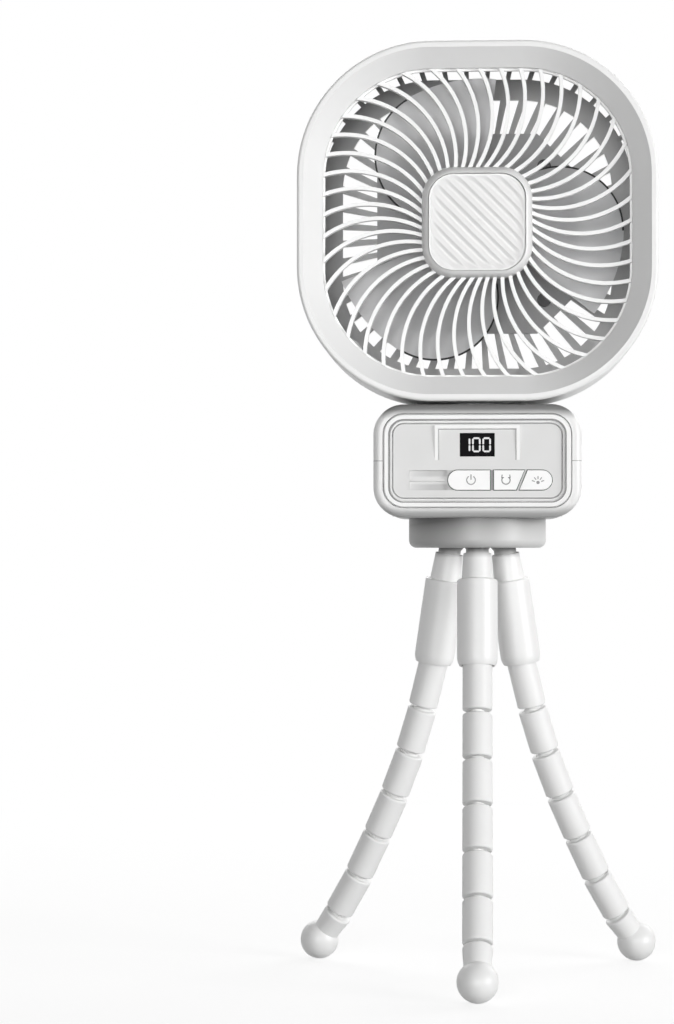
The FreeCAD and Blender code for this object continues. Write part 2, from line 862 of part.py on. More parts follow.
frame = new_body("frame", "0", box_front, "box_middle.Z")
flange_sketch = sketch_on(frame, "XZ_Plane", "-panel_lip")
rounded_square(
    flange_sketch,
    f"box_width - 2 * ({flange_inset})", f"box_height - 2 * ({flange_inset})",
    f"box_corner - ({flange_inset})",
)
raise_pad(frame, flange_sketch, f"{flange_back} - panel_lip")
ring_sketch = sketch_on(frame, "XZ_Plane", "panel_proud")
rounded_square(
    ring_sketch,
    f"box_width - 2 * {frame_inset}", f"box_height - 2 * {frame_inset}", f"box_corner - {frame_inset}",
)
ring_pad = raise_pad(frame, ring_sketch, "panel_proud + panel_lip")
soften(
    frame, ring_pad, "panel_gap",
    lambda middle, box: box.YLength < 0.01 and box.YMin < -value("panel_proud") + 0.01,
)
step_sketch = sketch_on(frame, "XZ_Plane", "panel_proud")
rounded_square(
    step_sketch,
    f"box_width - 2 * {inner_inset}", f"box_height - 2 * {inner_inset}", f"box_corner - {inner_inset}",
)
sink_pocket(frame, step_sketch, "panel_proud + panel_step")
groove_sketch = sketch_on(frame, "XZ_Plane", "-panel_step")
rounded_square(
    groove_sketch,
    f"box_width - 2 * {inner_inset}", f"box_height - 2 * {inner_inset}", f"box_corner - {inner_inset}",
)
groove_inset = f"({inner_inset} + panel_groove)"
rounded_square(
    groove_sketch,
    f"box_width - 2 * {groove_inset}", f"box_height - 2 * {groove_inset}", f"box_corner - {groove_inset}",
)
sink_pocket(frame, groove_sketch, "panel_groove_depth")
seat_sketch = sketch_on(frame, "XZ_Plane")
rounded_square(seat_sketch, fascia_hole_width, fascia_hole_height, "fascia_corner + fascia_gap")
sink_pocket(frame, seat_sketch, ledge_front)
through_sketch = sketch_on(frame, "XZ_Plane")
rounded_square(
    through_sketch,
    "fascia_width - 2 * fascia_ledge", "fascia_height - 2 * fascia_ledge", "fascia_corner - fascia_ledge",
)
sink_pocket(frame, through_sketch, f"2 * {flange_back}")
frame_posts = [
    cylinder(
        "post_radius", "board_gap + panel_flange / 2",
        (
            f"{side} * (board_width / 2 - post_radius)",
            f"{box_front} + {flange_back} - panel_flange / 2",
            f"box_middle.Z + {rise} * (fascia_height / 2)",
        ),
        "Y",
    )
    for side in (-1, 1)
    for rise in (-1, 1)
]
piece("panel_frame", fuse(frame, *frame_posts))

# The buttons' outlines, in the plane of the panel. Each is grown by a gap for its hole.

button_top = "(button_height / 2 - button_drop)"
button_bottom = "(-button_height / 2 - button_drop)"
button_round = "(button_height / 2)"


def power_outline(sketch, gap="0"):
    """Round at its left end, square at its right end."""
    return outline(
        sketch,
        (f"power_end + {gap}", f"{button_bottom} - {gap}"),
        (f"power_end + {gap}", f"{button_top} + {gap}"),
        (f"{button_round} - button_left", f"{button_top} + {gap}"),
        ("arc", f"{button_round} - button_left", "-button_drop"),
        (f"-button_left - {gap}", "-button_drop"),
        ("arc", f"{button_round} - button_left", "-button_drop"),
        (f"{button_round} - button_left", f"{button_bottom} - {gap}"),
    )


def swing_outline(sketch, gap="0"):
    """Square at its left end, slanting at its right end."""
    return outline(
        sketch,
        (f"swing_start - {gap}", f"{button_bottom} - {gap}"),
        (f"swing_end - button_slant + {gap}", f"{button_bottom} - {gap}"),
        (f"swing_end + button_slant + {gap}", f"{button_top} + {gap}"),
        (f"swing_start - {gap}", f"{button_top} + {gap}"),
    )


def light_outline(sketch, gap="0"):
    """Slanting at its left end, round at its right end."""
    return outline(
        sketch,
        (f"light_start - button_slant - {gap}", f"{button_bottom} - {gap}"),
        (f"button_right - {button_round}", f"{button_bottom} - {gap}"),
        ("arc", f"button_right - {button_round}", "-button_drop"),
        (f"button_right + {gap}", "-button_drop"),
        ("arc", f"button_right - {button_round}", "-button_drop"),
        (f"button_right - {button_round}", f"{button_top} + {gap}"),
        (f"light_start + button_slant - {gap}", f"{button_top} + {gap}"),
    )


BUTTONS = {"power_button": power_outline, "swing_button": swing_outline, "light_button": light_outline}

fascia = new_body("fascia_form", "0", f"{box_front} + {fascia_front}", "box_middle.Z")
fascia_sketch = sketch_on(fascia, "XZ_Plane")
rounded_square(fascia_sketch, "fascia_width", "fascia_height", "fascia_corner")
raise_pad(fascia, fascia_sketch, "fascia_thickness")
# a raised visor frames the display and runs out into the panel below it
visor_sketch = sketch_on(fascia, "XZ_Plane")
outline(
    visor_sketch,
    ("-visor_width / 2", "visor_foot"),
    ("-visor_width / 2", "visor_top"),
    ("visor_width / 2", "visor_top"),
    ("visor_width / 2", "visor_foot"),
    ("visor_width / 2 - visor_wall", "visor_foot"),
    ("visor_width / 2 - visor_wall", "visor_top - visor_wall"),
    ("visor_wall - visor_width / 2", "visor_top - visor_wall"),
    ("visor_wall - visor_width / 2", "visor_foot"),
)
raise_pad(fascia, visor_sketch, "visor_proud", backwards=False)
slope_sketch = sketch_on(fascia, "YZ_Plane", "-visor_width")
outline(
    slope_sketch,
    ("0", "visor_foot"),
    ("-visor_proud", "visor_top"),
    ("-2 * visor_proud", "visor_top"),
    ("-2 * visor_proud", "visor_foot"),
)
sink_pocket(fascia, slope_sketch, "2 * visor_width", backwards=False)
window_sketch = sketch_on(fascia, "XZ_Plane", y="display_rise")
rounded_square(
    window_sketch, "display_width + 2 * display_gap", "display_height + 2 * display_gap", "display_gap"
)
sink_pocket(fascia, window_sketch, "fascia_thickness")
for grow in BUTTONS.values():
    sink_pocket(fascia, grow(sketch_on(fascia, "XZ_Plane"), "button_gap"), "fascia_thickness")
# the trough beside the power button, with a ridge along its middle
for side in (-1, 1):
    low, high = ("trough_ridge / 2", "button_height / 2")
    near, far = (low, high) if side > 0 else (f"-{high}", f"-{low}")
    trough_sketch = outline(
        sketch_on(fascia, "XZ_Plane"),
        ("-trough_left", f"{near} - button_drop"),
        ("-button_left - button_gap", f"{near} - button_drop"),
        ("-button_left - button_gap", f"{far} - button_drop"),
        ("-trough_left", f"{far} - button_drop"),
    )
    sink_pocket(fascia, trough_sketch, "trough_depth")
piece("fascia", fascia)

# Behind the fascia: the board, the display on it, the three switches and the buttons.

board_front = f"({box_front} + {flange_back} + board_gap)"
board = block(
    "board_width", "board_thickness", "board_height",
    ("0", board_front, "box_middle.Z - board_height / 2"),
)
piece("control_board", board)

display_front = f"({box_front} + {fascia_front} + display_sink)"
display_bottom = "box_middle.Z + display_rise - display_height / 2"
display = block(
    "display_width", f"{board_front} - {display_front}", "display_height",
    ("0", display_front, display_bottom),
)
piece("display_module", display)

# A nought has six strokes and a one has two, placed in steps of a quarter of the digit.
STROKES = {
    "top": (0, 2, True), "upper_left": (-1, 1, False), "upper_right": (1, 1, False),
    "lower_left": (-1, -1, False), "lower_right": (1, -1, False), "bottom": (0, -2, True),
}
SHOWN = [("upper_right", "lower_right"), tuple(STROKES), tuple(STROKES)]

strokes = []
for place, names in enumerate(SHOWN):
    for name in names:
        side, rise, lies = STROKES[name]
        half_x = "(digit_width - digit_stroke) / 2"
        half_z = "(digit_height - digit_stroke) / 4"
        x = f"digit_shift + {place - 1} * digit_pitch + {side} * {half_x}"
        z = f"box_middle.Z + display_rise + {rise} * {half_z}"
        wide = "digit_width - 2 * digit_stroke" if lies else "digit_stroke"
        high = "digit_stroke" if lies else f"2 * {half_z} - digit_slit"
        at = (x, f"{display_front} - digit_proud", f"{z} - ({high}) / 2")
        strokes.append(block(wide, "digit_proud", high, at))
piece("display_digits", group(*strokes))

button_front = f"({box_front} + {fascia_front} - button_proud)"
button_length = "button_proud + button_back"
for name, draw in BUTTONS.items():
    button = new_body(f"{name}_form", "0", button_front, "box_middle.Z")
    button_pad = raise_pad(button, draw(sketch_on(button, "XZ_Plane")), button_length)
    soften(
        button, button_pad, "button_gap",
        lambda middle, box: box.YLength < 0.01 and box.YMin < 0.01,
    )
    piece(name, button)

switch_front = f"({button_front} + {button_length} + button_travel + ball_clearance)"
switches = []
for middle in (
    "(power_end - button_left) / 2", "(swing_start + swing_end) / 2",
    "(light_start + button_right) / 2",
):
    at = (middle, switch_front, "box_middle.Z - button_drop - switch_width / 2")
    switches.append(block("switch_width", f"{board_front} - {switch_front}", "switch_width", at))
piece("switches", group(*switches))

# Inside the box: two cells, the gear motor that turns the head, and the charging socket.

# the cells lie just high enough for their ends to clear the round lower corners
inner_corner = "(box_corner - box_wall)"
corner_side = f"({inner_corner} - cell_room + cell_gap)"
cell_rise = f"({inner_corner} - {chord(inner_corner, corner_side)})"
cell_z = f"box_floor.Z + box_wall + {cell_rise} + cell_radius"
cells = [
    cylinder(
        "cell_radius", "cell_length",
        ("-cell_length / 2", f"tripod.Y + {side} * (cell_radius + cell_gap)", cell_z), "X",
    )
    for side in (-1, 1)
]
piece("battery_cells", group(*cells))

motor_floor = f"({cell_z} + cell_radius + cell_gap)"
shaft_bore = cylinder(
    "swing_shaft_radius + shaft_clearance", "swing_shaft_depth + box_wall",
    ("0", "tripod.Y", f"({boss_floor}) - swing_shaft_depth - cell_gap"),
)
swing_case = cylinder(
    "swing_motor_radius", f"({boss_floor}) - {motor_floor}", ("0", "tripod.Y", motor_floor)
)
piece("swing_motor", cut(swing_case, shaft_bore))

socket_front = f"{box_back} - socket_length"
socket_shell = cut(
    stadium("socket_width", "socket_height", "socket_length", ("0", socket_front, socket_z)),
    stadium(
        "socket_width - 2 * socket_wall", "socket_height - 2 * socket_wall", "socket_length",
        ("0", f"{socket_front} + 2 * socket_wall", socket_z),
    ),
)
tongue = block(
    "socket_tongue_width", "socket_tongue_length", "socket_tongue_height",
    ("0", f"{socket_front} + socket_wall", f"{socket_z} - socket_tongue_height / 2"),
)
socket_board = block(
    "socket_width + 2 * box_wall", "socket_length + box_wall", "lamp_board_thickness",
    (
        "0",
        f"{socket_front} - 2 * box_wall",
        f"{socket_z} - socket_height / 2 - lamp_board_thickness",
    ),
)
piece("charging_socket", fuse(socket_shell, tongue, socket_board))

# The neck: a turntable let into the top of the box, with the hinge lug of the head on it.

disc_bottom = "box_top.Z - turntable_sink"
disc = cylinder("turntable_radius", "turntable_sink + turntable_proud", ("0", "tripod.Y", disc_bottom))
stem_foot = f"(({boss_floor}) + cell_gap)"
stem = cylinder("stem_radius", f"{disc_bottom} - {stem_foot}", ("0", "tripod.Y", stem_foot))
lug_foot = f"({disc_bottom} + turntable_sink / 2)"
lug = block(
    "lug_width", "2 * lug_radius", f"tilt.Z - {lug_foot}", ("0", "tilt.Y - lug_radius", lug_foot)
)
lug_eye = cylinder("lug_radius", "lug_width", ("-lug_width / 2", "tilt.Y", "tilt.Z"), "X")
pin_length = "(lug_width + 2 * lug_clearance + 2 * head_wall)"
pin_hole = cylinder("pin_radius", pin_length, (f"-{pin_length} / 2", "tilt.Y", "tilt.Z"), "X")
coupling_foot = f"(({boss_floor}) - swing_shaft_depth)"
swing_shaft = cylinder(
    "swing_shaft_radius", f"{disc_bottom} - {coupling_foot}", ("0", "tripod.Y", coupling_foot)
)
# the lug is cut to the disc's round edge
lug_bound = cylinder("turntable_radius", "head_width", ("0", "tripod.Y", disc_bottom))
turntable = cut(fuse(disc, stem, common(fuse(lug, lug_eye), lug_bound)), pin_hole, swing_shaft)
piece("turntable", turntable)
piece("tilt_pin", pin_hole)
piece("swing_shaft", swing_shaft)

# The fan head. Each body's Y is 0 at the front plane of the head. The front frame is a
# rounded square whose inside slopes in to the opening of the grille.

bezel_depth = "bezel_width"
opening_corner = "(head_corner - (head_width - opening_width) / 2)"
cavity_width = "(head_width - 2 * head_wall)"
cavity_corner = "(head_corner - head_wall)"
lip_back = f"({bezel_depth} + lip_thickness)"
POST_BEARINGS = (225, 315)


def square_in_head(body, width, corner, offset="0"):
    """A rounded-square sketch about the axis of the fan."""
    return rounded_square(sketch_on(body, "XZ_Plane", offset), width, width, corner)


def post_circles(sketch, radius):
    """The two screw posts' circles, in the lower corners of the head."""
    for bearing in POST_BEARINGS:
        round_hole(
            sketch, radius, f"head_post_ring * cos({bearing})", f"head_post_ring * sin({bearing})"
        )
    return sketch


def head_body(name):
    """A body on the axis of the fan, whose Y is 0 at the front plane of the head."""
    return new_body(name, "0", "head_front.Y", "head_front.Z")


front = head_body("front_form")
front_pad = raise_pad(front, square_in_head(front, "head_width", "head_corner"), "front_depth")
soften(
    front, front_pad, "front_rounding",
    lambda middle, box: box.YLength < 0.01 and box.YMin < 0.01,
)
sink_pocket(front, square_in_head(front, "opening_width", opening_corner), "front_depth")
soften(
    front, front.Tip, bezel_depth,
    lambda middle, box: (
        box.YLength < 0.01 and box.YMin < 0.01
        and max(abs(box.XMax), abs(box.XMin), abs(box.ZMax), abs(box.ZMin))
        < value("opening_width") / 2 + 0.01
    ),
    "Chamfer",
)
front_cavity = square_in_head(front, cavity_width, cavity_corner, f"-{lip_back}")
sink_pocket(front, front_cavity, f"front_depth - {lip_back}")
front_posts = post_circles(sketch_on(front, "XZ_Plane", f"-{lip_back}"), "head_post_radius")
raise_pad(front, front_posts, f"front_depth - {lip_back}")
front_bores = post_circles(sketch_on(front, "XZ_Plane", f"-({lip_back} + head_post_floor)"), "screw_radius")
sink_pocket(front, front_bores, f"front_depth - {lip_back} - head_post_floor")
# the posts stay behind the lip and clear of the grille's rim
rim_clear = square_in_head(
    front, "opening_width + 2 * grille_rim + 2 * grille_gap",
    f"{opening_corner} + grille_rim + grille_gap", f"-{lip_back}",
)
sink_pocket(front, rim_clear, "grille_rim_depth + grille_gap")
piece("front_frame", front)

# The grille: bent ribs from the hub plate to a rim that seats behind the frame's lip.

grille = head_body("grille_form")
rib_front = f"({lip_back} + grille_rim_depth - rib_depth)"


def rib_point(sweep, radius):
    """A point on a rib's circle, by its sweep back from the bearing of the circle's middle."""
    turn = f"(rib_bearing - {sweep})"
    return (
        f"rib_centre * cos(rib_bearing) + ({radius}) * cos({turn})",
        f"rib_centre * sin(rib_bearing) + ({radius}) * sin({turn})",
    )


rib_middle = ("arc", "rib_centre * cos(rib_bearing)", "rib_centre * sin(rib_bearing)")
rib_sketch = outline(
    sketch_on(grille, "XZ_Plane", f"-{rib_front}"),
    rib_point("rib_inner_sweep", "rib_arc + rib_width / 2"),
    rib_middle,
    rib_point("rib_outer_sweep", "rib_arc + rib_width / 2"),
    rib_point("rib_outer_sweep", "rib_arc - rib_width / 2"),
    rib_middle,
    rib_point("rib_inner_sweep", "rib_arc - rib_width / 2"),
)
rib = raise_pad(grille, rib_sketch, "rib_depth")
repeat_round(grille, rib, rib_sketch, "rib_count")
trim = square_in_head(
    grille, "opening_width - 2 * grille_gap", f"{opening_corner} - grille_gap", f"-{rib_front}"
)
round_hole(trim, "head_width")
sink_pocket(grille, trim, "rib_depth")
rim_sketch = square_in_head(
    grille, "opening_width + 2 * grille_rim", f"{opening_corner} + grille_rim", f"-{lip_back}"
)
rounded_square(
    rim_sketch, "opening_width - 2 * grille_reach", "opening_width - 2 * grille_reach",
    f"{opening_corner} - grille_reach",
)
raise_pad(grille, rim_sketch, "grille_rim_depth")
plate_front = f"({rib_front} - hub_plate_proud)"
plate_pad = raise_pad(
    grille, square_in_head(grille, "hub_plate_width", "hub_plate_corner", f"-{plate_front}"),
    "hub_plate_depth",
)
soften(
    grille, plate_pad, "hub_plate_edge",
    lambda middle, box: box.YLength < 0.01 and box.YMax < value(plate_front) + 0.01,
)
lamp_well = square_in_head(
    grille, "lamp_width + 2 * lamp_gap", "lamp_corner + lamp_gap", f"-{plate_front}"
)
sink_pocket(grille, lamp_well, "hub_plate_depth - hub_plate_floor")
piece("front_grille", grille)

# The lamp in the middle of the grille: a board with nine chips behind a frosted plate.

lamp_front = f"({plate_front} + lamp_sink)"
lamp = head_body("lamp_form")
raise_pad(lamp, square_in_head(lamp, "lamp_width", "lamp_corner", f"-{lamp_front}"), "lamp_thickness")
piece("lamp_diffuser", lamp)

well_floor = f"({plate_front} + hub_plate_depth - hub_plate_floor)"
lamp_board = block(
    "lamp_board_width", "lamp_board_thickness", "lamp_board_width",
    (
        "0",
        f"head_front.Y + {well_floor} - lamp_board_thickness",
        "head_front.Z - lamp_board_width / 2",
    ),
)
chips = [
    block(
        "lamp_chip", "lamp_chip_height", "lamp_chip",
        (
            f"{across} * lamp_chip_pitch",
            f"head_front.Y + {well_floor} - lamp_board_thickness - lamp_chip_height",
            f"head_front.Z + {rise} * lamp_chip_pitch - lamp_chip / 2",
        ),
    )
    for across in (-1, 0, 1)
    for rise in (-1, 0, 1)
]
piece("lamp_board", fuse(lamp_board, *chips))

# The impeller: a cup-shaped hub and three broad blades. A blade is a twisted slab, wound
# from the back at its leading edge to the front. Its tip follows a circle about the axis,
# and its leading edge is round, about a centre of its own.

impeller_front = f"({plate_front} + hub_plate_depth + impeller_gap)"
BLADE_STATIONS = 6


def blade(number):
    """One blade, at its place around the hub."""
    bearing = f"({number} * 360 / blade_count + blade_bearing)"
    sections = []
    for station in range(BLADE_STATIONS + 1):
        wound = f"{station} / {BLADE_STATIONS} * (blade_lead_sweep + blade_trail_sweep)"
        angle = f"({bearing} + blade_lead_sweep - {wound})"
        depth = (
            f"{impeller_front} + impeller_hub_depth - blade_thickness"
            f" - {station} / {BLADE_STATIONS} * blade_depth"
        )
        section = doc.addObject("Part::Plane", "blade_section")
        tie(section, Length="blade_tip + blade_spare - blade_root", Width="blade_thickness")
        place = (
            f"vector(blade_root * cos({angle}); head_front.Y + {depth};"
            f" head_front.Z + blade_root * sin({angle}))"
        )
        tie(section, Placement=f"placement({place}; rotation(vector(0; -1; 0); {angle}))")
        sections.append(section)
    slab = doc.addObject("Part::Loft", "blade_slab")
    slab.Sections = sections
    slab.Solid = True
    slab.Ruled = False
    tips = cylinder("blade_tip", "head_width", ("0", "head_front.Y", "head_front.Z"), "Y")
    lead = cylinder(
        "blade_lead_radius", "head_width",
        (
            f"(blade_tip - blade_lead_radius) * cos({bearing})",
            "head_front.Y",
            f"head_front.Z + (blade_tip - blade_lead_radius) * sin({bearing})",
        ),
        "Y",
    )
    trail = tie(
        doc.addObject("Part::Box", "trailing_half"),
        Length="2 * blade_tip", Width="head_width", Height="blade_tip",
    )
    corner = (
        f"vector(blade_tip * (sin({bearing}) - cos({bearing})); head_front.Y;"
        f" head_front.Z - blade_tip * (sin({bearing}) + cos({bearing})))"
    )
    tie(trail, Placement=f"placement({corner}; rotation(vector(0; -1; 0); {bearing}))")
    return common(slab, tips, fuse(lead, trail))


def along_axis(radius, length, start):
    """A cylinder on the axis of the fan, from a depth behind the head's front plane."""
    return cylinder(radius, length, ("0", f"head_front.Y + {start}", "head_front.Z"), "Y")


cup_form = along_axis("impeller_hub_radius", "impeller_hub_depth", impeller_front)
cup_hollow = along_axis(
    "impeller_hub_radius - impeller_wall", "impeller_hub_depth", f"{impeller_front} + impeller_wall"
)
cup_boss = along_axis("boss_radius", "boss_depth", impeller_front)
shaft_start = f"({impeller_front} + impeller_wall)"
shaft_length = f"motor_front + motor_bore_depth - {shaft_start} - cell_gap"
shaft = along_axis("shaft_radius", shaft_length, shaft_start)
blades = [blade(number) for number in range(int(value("blade_count")))]
impeller = cut(fuse(cut(fuse(cup_form, *blades), cup_hollow), cup_boss), shaft)
piece("impeller", impeller)
piece("motor_shaft", shaft)

# The rear guard: a shell with a ring of slots, a band of windows along its edge, a notch
# below for the tilt hinge, and the plate that carries the motor. Two tongues on its top
# edge reach into the front frame, and two screws hold its lower corners.

rear_inside = "(front_depth + rear_depth - head_wall)"
plate_face = f"({rear_inside} - motor_plate_thickness)"
hinge_wall = "(lug_width / 2 + lug_clearance + head_wall)"
hinge_reach = "(lug_radius + lug_clearance)"
notch_top = f"(rear_rounding + {hinge_reach} + head_wall - head_width / 2)"
notch_front = f"(front_depth + rear_depth - rear_rounding - {hinge_reach} - head_wall)"
cavity_half = f"({cavity_width} / 2)"

rear = head_body("rear_form")
rear_pad = raise_pad(rear, square_in_head(rear, "head_width", "head_corner", "-front_depth"), "rear_depth")
soften(
    rear, rear_pad, "rear_rounding",
    lambda middle, box: (
        box.YLength < 0.01 and box.YMin > value("front_depth + rear_depth") - 0.01
    ),
)
rear_cavity = square_in_head(rear, cavity_width, cavity_corner, "-front_depth")
sink_pocket(rear, rear_cavity, f"{rear_inside} - front_depth")
# the walls of the hinge stand in the cavity as a block, which is then hollowed from below
hinge_block = outline(
    sketch_on(rear, "XZ_Plane", f"-{notch_front}"),
    (f"-{hinge_wall}", f"-({cavity_half} + hinge_bite)"),
    (hinge_wall, f"-({cavity_half} + hinge_bite)"),
    (hinge_wall, notch_top),
    (f"-{hinge_wall}", notch_top),
)
raise_pad(rear, hinge_block, f"{rear_inside} - {notch_front}")
hinge_room = outline(
    sketch_on(rear, "YZ_Plane", "-lug_width / 2 - lug_clearance"),
    (f"front_depth + rear_depth - rear_rounding - {hinge_reach}", "-head_width"),
    (
        f"front_depth + rear_depth - rear_rounding - {hinge_reach}",
        f"rear_rounding + {hinge_reach} - head_width / 2",
    ),
    ("2 * head_width", f"rear_rounding + {hinge_reach} - head_width / 2"),
    ("2 * head_width", "-head_width"),
)
sink_pocket(rear, hinge_room, "lug_width + 2 * lug_clearance", backwards=False)
rear_posts = post_circles(sketch_on(rear, "XZ_Plane", "-front_depth"), "head_post_radius")
raise_pad(rear, rear_posts, "rear_depth - head_wall")
screw_wells = post_circles(
    sketch_on(rear, "XZ_Plane", f"-{rear_inside}"), "screw_head"
)
sink_pocket(rear, screw_wells, "2 * head_wall")
screw_bores = post_circles(sketch_on(rear, "XZ_Plane", "-front_depth"), "screw_radius")
sink_pocket(rear, screw_bores, "rear_depth")




def ray_width(radius, share):
    """How wide a ray is at a radius, by its share of the rays' pitch."""
    return f"({share} * 2 * ({radius}) * tan(180 / slot_count))"


def star(name, share):
    """A body of rays that widen outwards like slices of cake, on a round middle. The inner
    face of the rear wall is halfway through it."""
    body = head_body(name)
    face = f"-({rear_inside} - 2 * head_wall)"
    raise_pad(body, round_hole(sketch_on(body, "XZ_Plane", face), "slot_start"), "4 * head_wall")
    near, far = ray_width("slot_start / 2", share), ray_width("head_width", share)
    ray = outline(
        sketch_on(body, "XZ_Plane", face),
        ("slot_start / 2", f"-{near} / 2"),
        ("head_width", f"-{far} / 2"),
        ("head_width", f"{far} / 2"),
        ("slot_start / 2", f"{near} / 2"),
    )
    repeat_round(body, raise_pad(body, ray, "4 * head_wall"), ray, "slot_count")
    return body


# the slots: the part of a star between a circle and a rounded square
field = head_body("slot_field")
field_sketch = square_in_head(
    field, "head_width - 2 * slot_inset", "head_corner - slot_inset", f"-({rear_inside} - head_wall)"
)
round_hole(field_sketch, "slot_start")
raise_pad(field, field_sketch, "3 * head_wall")
slots = common(star("slot_star", "slot_share"), field)

# the windows: the part of a star in a band along the edge of the head
band = head_body("window_band")
band_sketch = square_in_head(
    band, "head_width - 2 * window_end", "head_corner - window_end", f"-{rear_inside}"
)
rounded_square(
    band_sketch, "head_width - 2 * window_start", "head_width - 2 * window_start",
    "head_corner - window_start",
)
raise_pad(band, band_sketch, "2 * head_wall")
beside_posts = [
    cylinder(
        "head_post_radius", "head_width",
        (
            f"head_post_ring * cos({bearing})",
            "head_front.Y",
            f"head_front.Z + head_post_ring * sin({bearing})",
        ),
        "Y",
    )
    for bearing in POST_BEARINGS
]
beside_hinge = block(
    f"2 * {hinge_wall} + 4 * head_wall", "head_width", "head_width / 2",
    ("0", "head_front.Y", "head_front.Z - head_width / 2"),
)
windows = cut(common(star("window_star", "window_share"), band), beside_hinge, *beside_posts)

tongues = []
for side in (-1, 1):
    root = block(
        "tongue_width", "tongue_reach", "tongue_thickness + head_wall / 2",
        (
            f"{side} * tongue_offset",
            "head_front.Y + front_depth",
            f"head_front.Z + {cavity_half} - tongue_thickness",
        ),
    )
    tip = block(
        "tongue_width", "2 * tongue_reach", "tongue_thickness - tongue_gap",
        (
            f"{side} * tongue_offset",
            "head_front.Y + front_depth - tongue_reach",
            f"head_front.Z + {cavity_half} - tongue_thickness",
        ),
    )
    tongues.append(fuse(root, tip))
pin_room = cylinder(
    "pin_radius + shaft_clearance", pin_length, (f"-{pin_length} / 2", "tilt.Y", "tilt.Z"), "X"
)


def head_screw(x, z, head_start, shank_start, shank_length):
    """A screw along Y in the head, by the depths at which its head and its shank start."""
    at_x, at_z = x, f"head_front.Z + {z}"
    head = cylinder("screw_head", "screw_head_height", (at_x, f"head_front.Y + {head_start}", at_z), "Y")
    shank = cylinder("screw_radius", shank_length, (at_x, f"head_front.Y + {shank_start}", at_z), "Y")
    return fuse(head, shank)


shell_screws = [
    head_screw(
        f"head_post_ring * cos({bearing})", f"head_post_ring * sin({bearing})",
        rear_inside, f"{rear_inside} - head_screw_length", "head_screw_length",
    )
    for bearing in POST_BEARINGS
]
piece("shell_screws", group(*shell_screws))
motor_screws = [
    head_screw(
        f"{side} * motor_screw_offset", f"{rise} * motor_screw_offset",
        f"({plate_face} - screw_head_height)", plate_face, "motor_plate_thickness + head_wall / 2",
    )
    for side in (-1, 1)
    for rise in (-1, 1)
]
piece("motor_screws", group(*motor_screws))
piece("rear_shell", cut(fuse(rear, *tongues), pin_room, slots, windows, *motor_screws))

plate = head_body("plate_form")
half_plate = "(motor_plate_width / 2)"
plate_sketch = outline(
    sketch_on(plate, "XZ_Plane", f"-{plate_face}"),
    (half_plate, f"motor_plate_cut - {half_plate}"),
    (half_plate, f"{half_plate} - motor_plate_cut"),
    (f"{half_plate} - motor_plate_cut", half_plate),
    (f"motor_plate_cut - {half_plate}", half_plate),
    (f"-{half_plate}", f"{half_plate} - motor_plate_cut"),
    (f"-{half_plate}", f"motor_plate_cut - {half_plate}"),
    (f"motor_plate_cut - {half_plate}", f"-{half_plate}"),
    (f"{half_plate} - motor_plate_cut", f"-{half_plate}"),
)
raise_pad(plate, plate_sketch, "motor_plate_thickness")
piece("motor_plate", cut(plate, *motor_screws))
motor_can = along_axis("motor_radius", f"{plate_face} - motor_front", "motor_front")
motor_bore = along_axis("shaft_radius + shaft_clearance", "motor_bore_depth", "motor_front")
piece("motor", cut(motor_can, motor_bore))

doc.recompute()
failed = []
for thing in doc.Objects:
    if "Invalid" in thing.State or "Error" in thing.State:
        failed.append(f"{thing.Label}: {thing.State}")
for thing in PIECES:
    if thing.Shape.isNull() or not thing.Shape.isValid():
        failed.append(f"{thing.Label}: no valid shape")
if failed:
    raise RuntimeError("; ".join(failed))

os.makedirs("parts", exist_ok=True)
for thing in PIECES:
    thing.Shape.exportStep(f"parts/{thing.Label}.step")
    print(f"{thing.Label}: {len(thing.Shape.Solids)} solids, {thing.Shape.Volume:.1f} mm3")
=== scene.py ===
import math

import bmesh
import bpy
from mathutils import Matrix, Vector


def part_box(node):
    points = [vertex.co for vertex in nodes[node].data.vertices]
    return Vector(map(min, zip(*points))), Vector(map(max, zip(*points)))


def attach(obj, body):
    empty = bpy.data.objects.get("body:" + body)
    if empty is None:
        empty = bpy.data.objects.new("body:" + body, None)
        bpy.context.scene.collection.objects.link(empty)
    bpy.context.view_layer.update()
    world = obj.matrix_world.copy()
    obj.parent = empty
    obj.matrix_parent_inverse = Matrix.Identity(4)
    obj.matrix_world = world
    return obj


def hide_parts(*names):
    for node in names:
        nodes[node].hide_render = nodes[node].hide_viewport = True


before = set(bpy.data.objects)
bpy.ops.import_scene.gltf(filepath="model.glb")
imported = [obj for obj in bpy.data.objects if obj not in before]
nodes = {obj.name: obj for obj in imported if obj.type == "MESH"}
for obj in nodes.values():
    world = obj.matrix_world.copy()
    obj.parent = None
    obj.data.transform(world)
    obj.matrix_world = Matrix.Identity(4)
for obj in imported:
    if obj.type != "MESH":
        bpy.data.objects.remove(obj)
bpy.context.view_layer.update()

MM = 0.001

# The camera stands a good metre in front of the fan, level with the top of its legs. It
# looks a touch to the left, because the fan stands right of the middle of the picture.
CAMERA_PLACE = (0.0, -1.0186, 0.156)
CAMERA_YAW = math.radians(2.87)
CAMERA_PITCH = math.radians(0.78)
CAMERA_LENS = 98.4

camera = bpy.data.objects.new("camera", bpy.data.cameras.new("camera"))
bpy.context.scene.collection.objects.link(camera)
camera.data.lens = CAMERA_LENS
camera.location = CAMERA_PLACE
camera.rotation_euler = (math.pi / 2 + CAMERA_PITCH, 0, CAMERA_YAW)
bpy.context.scene.camera = camera


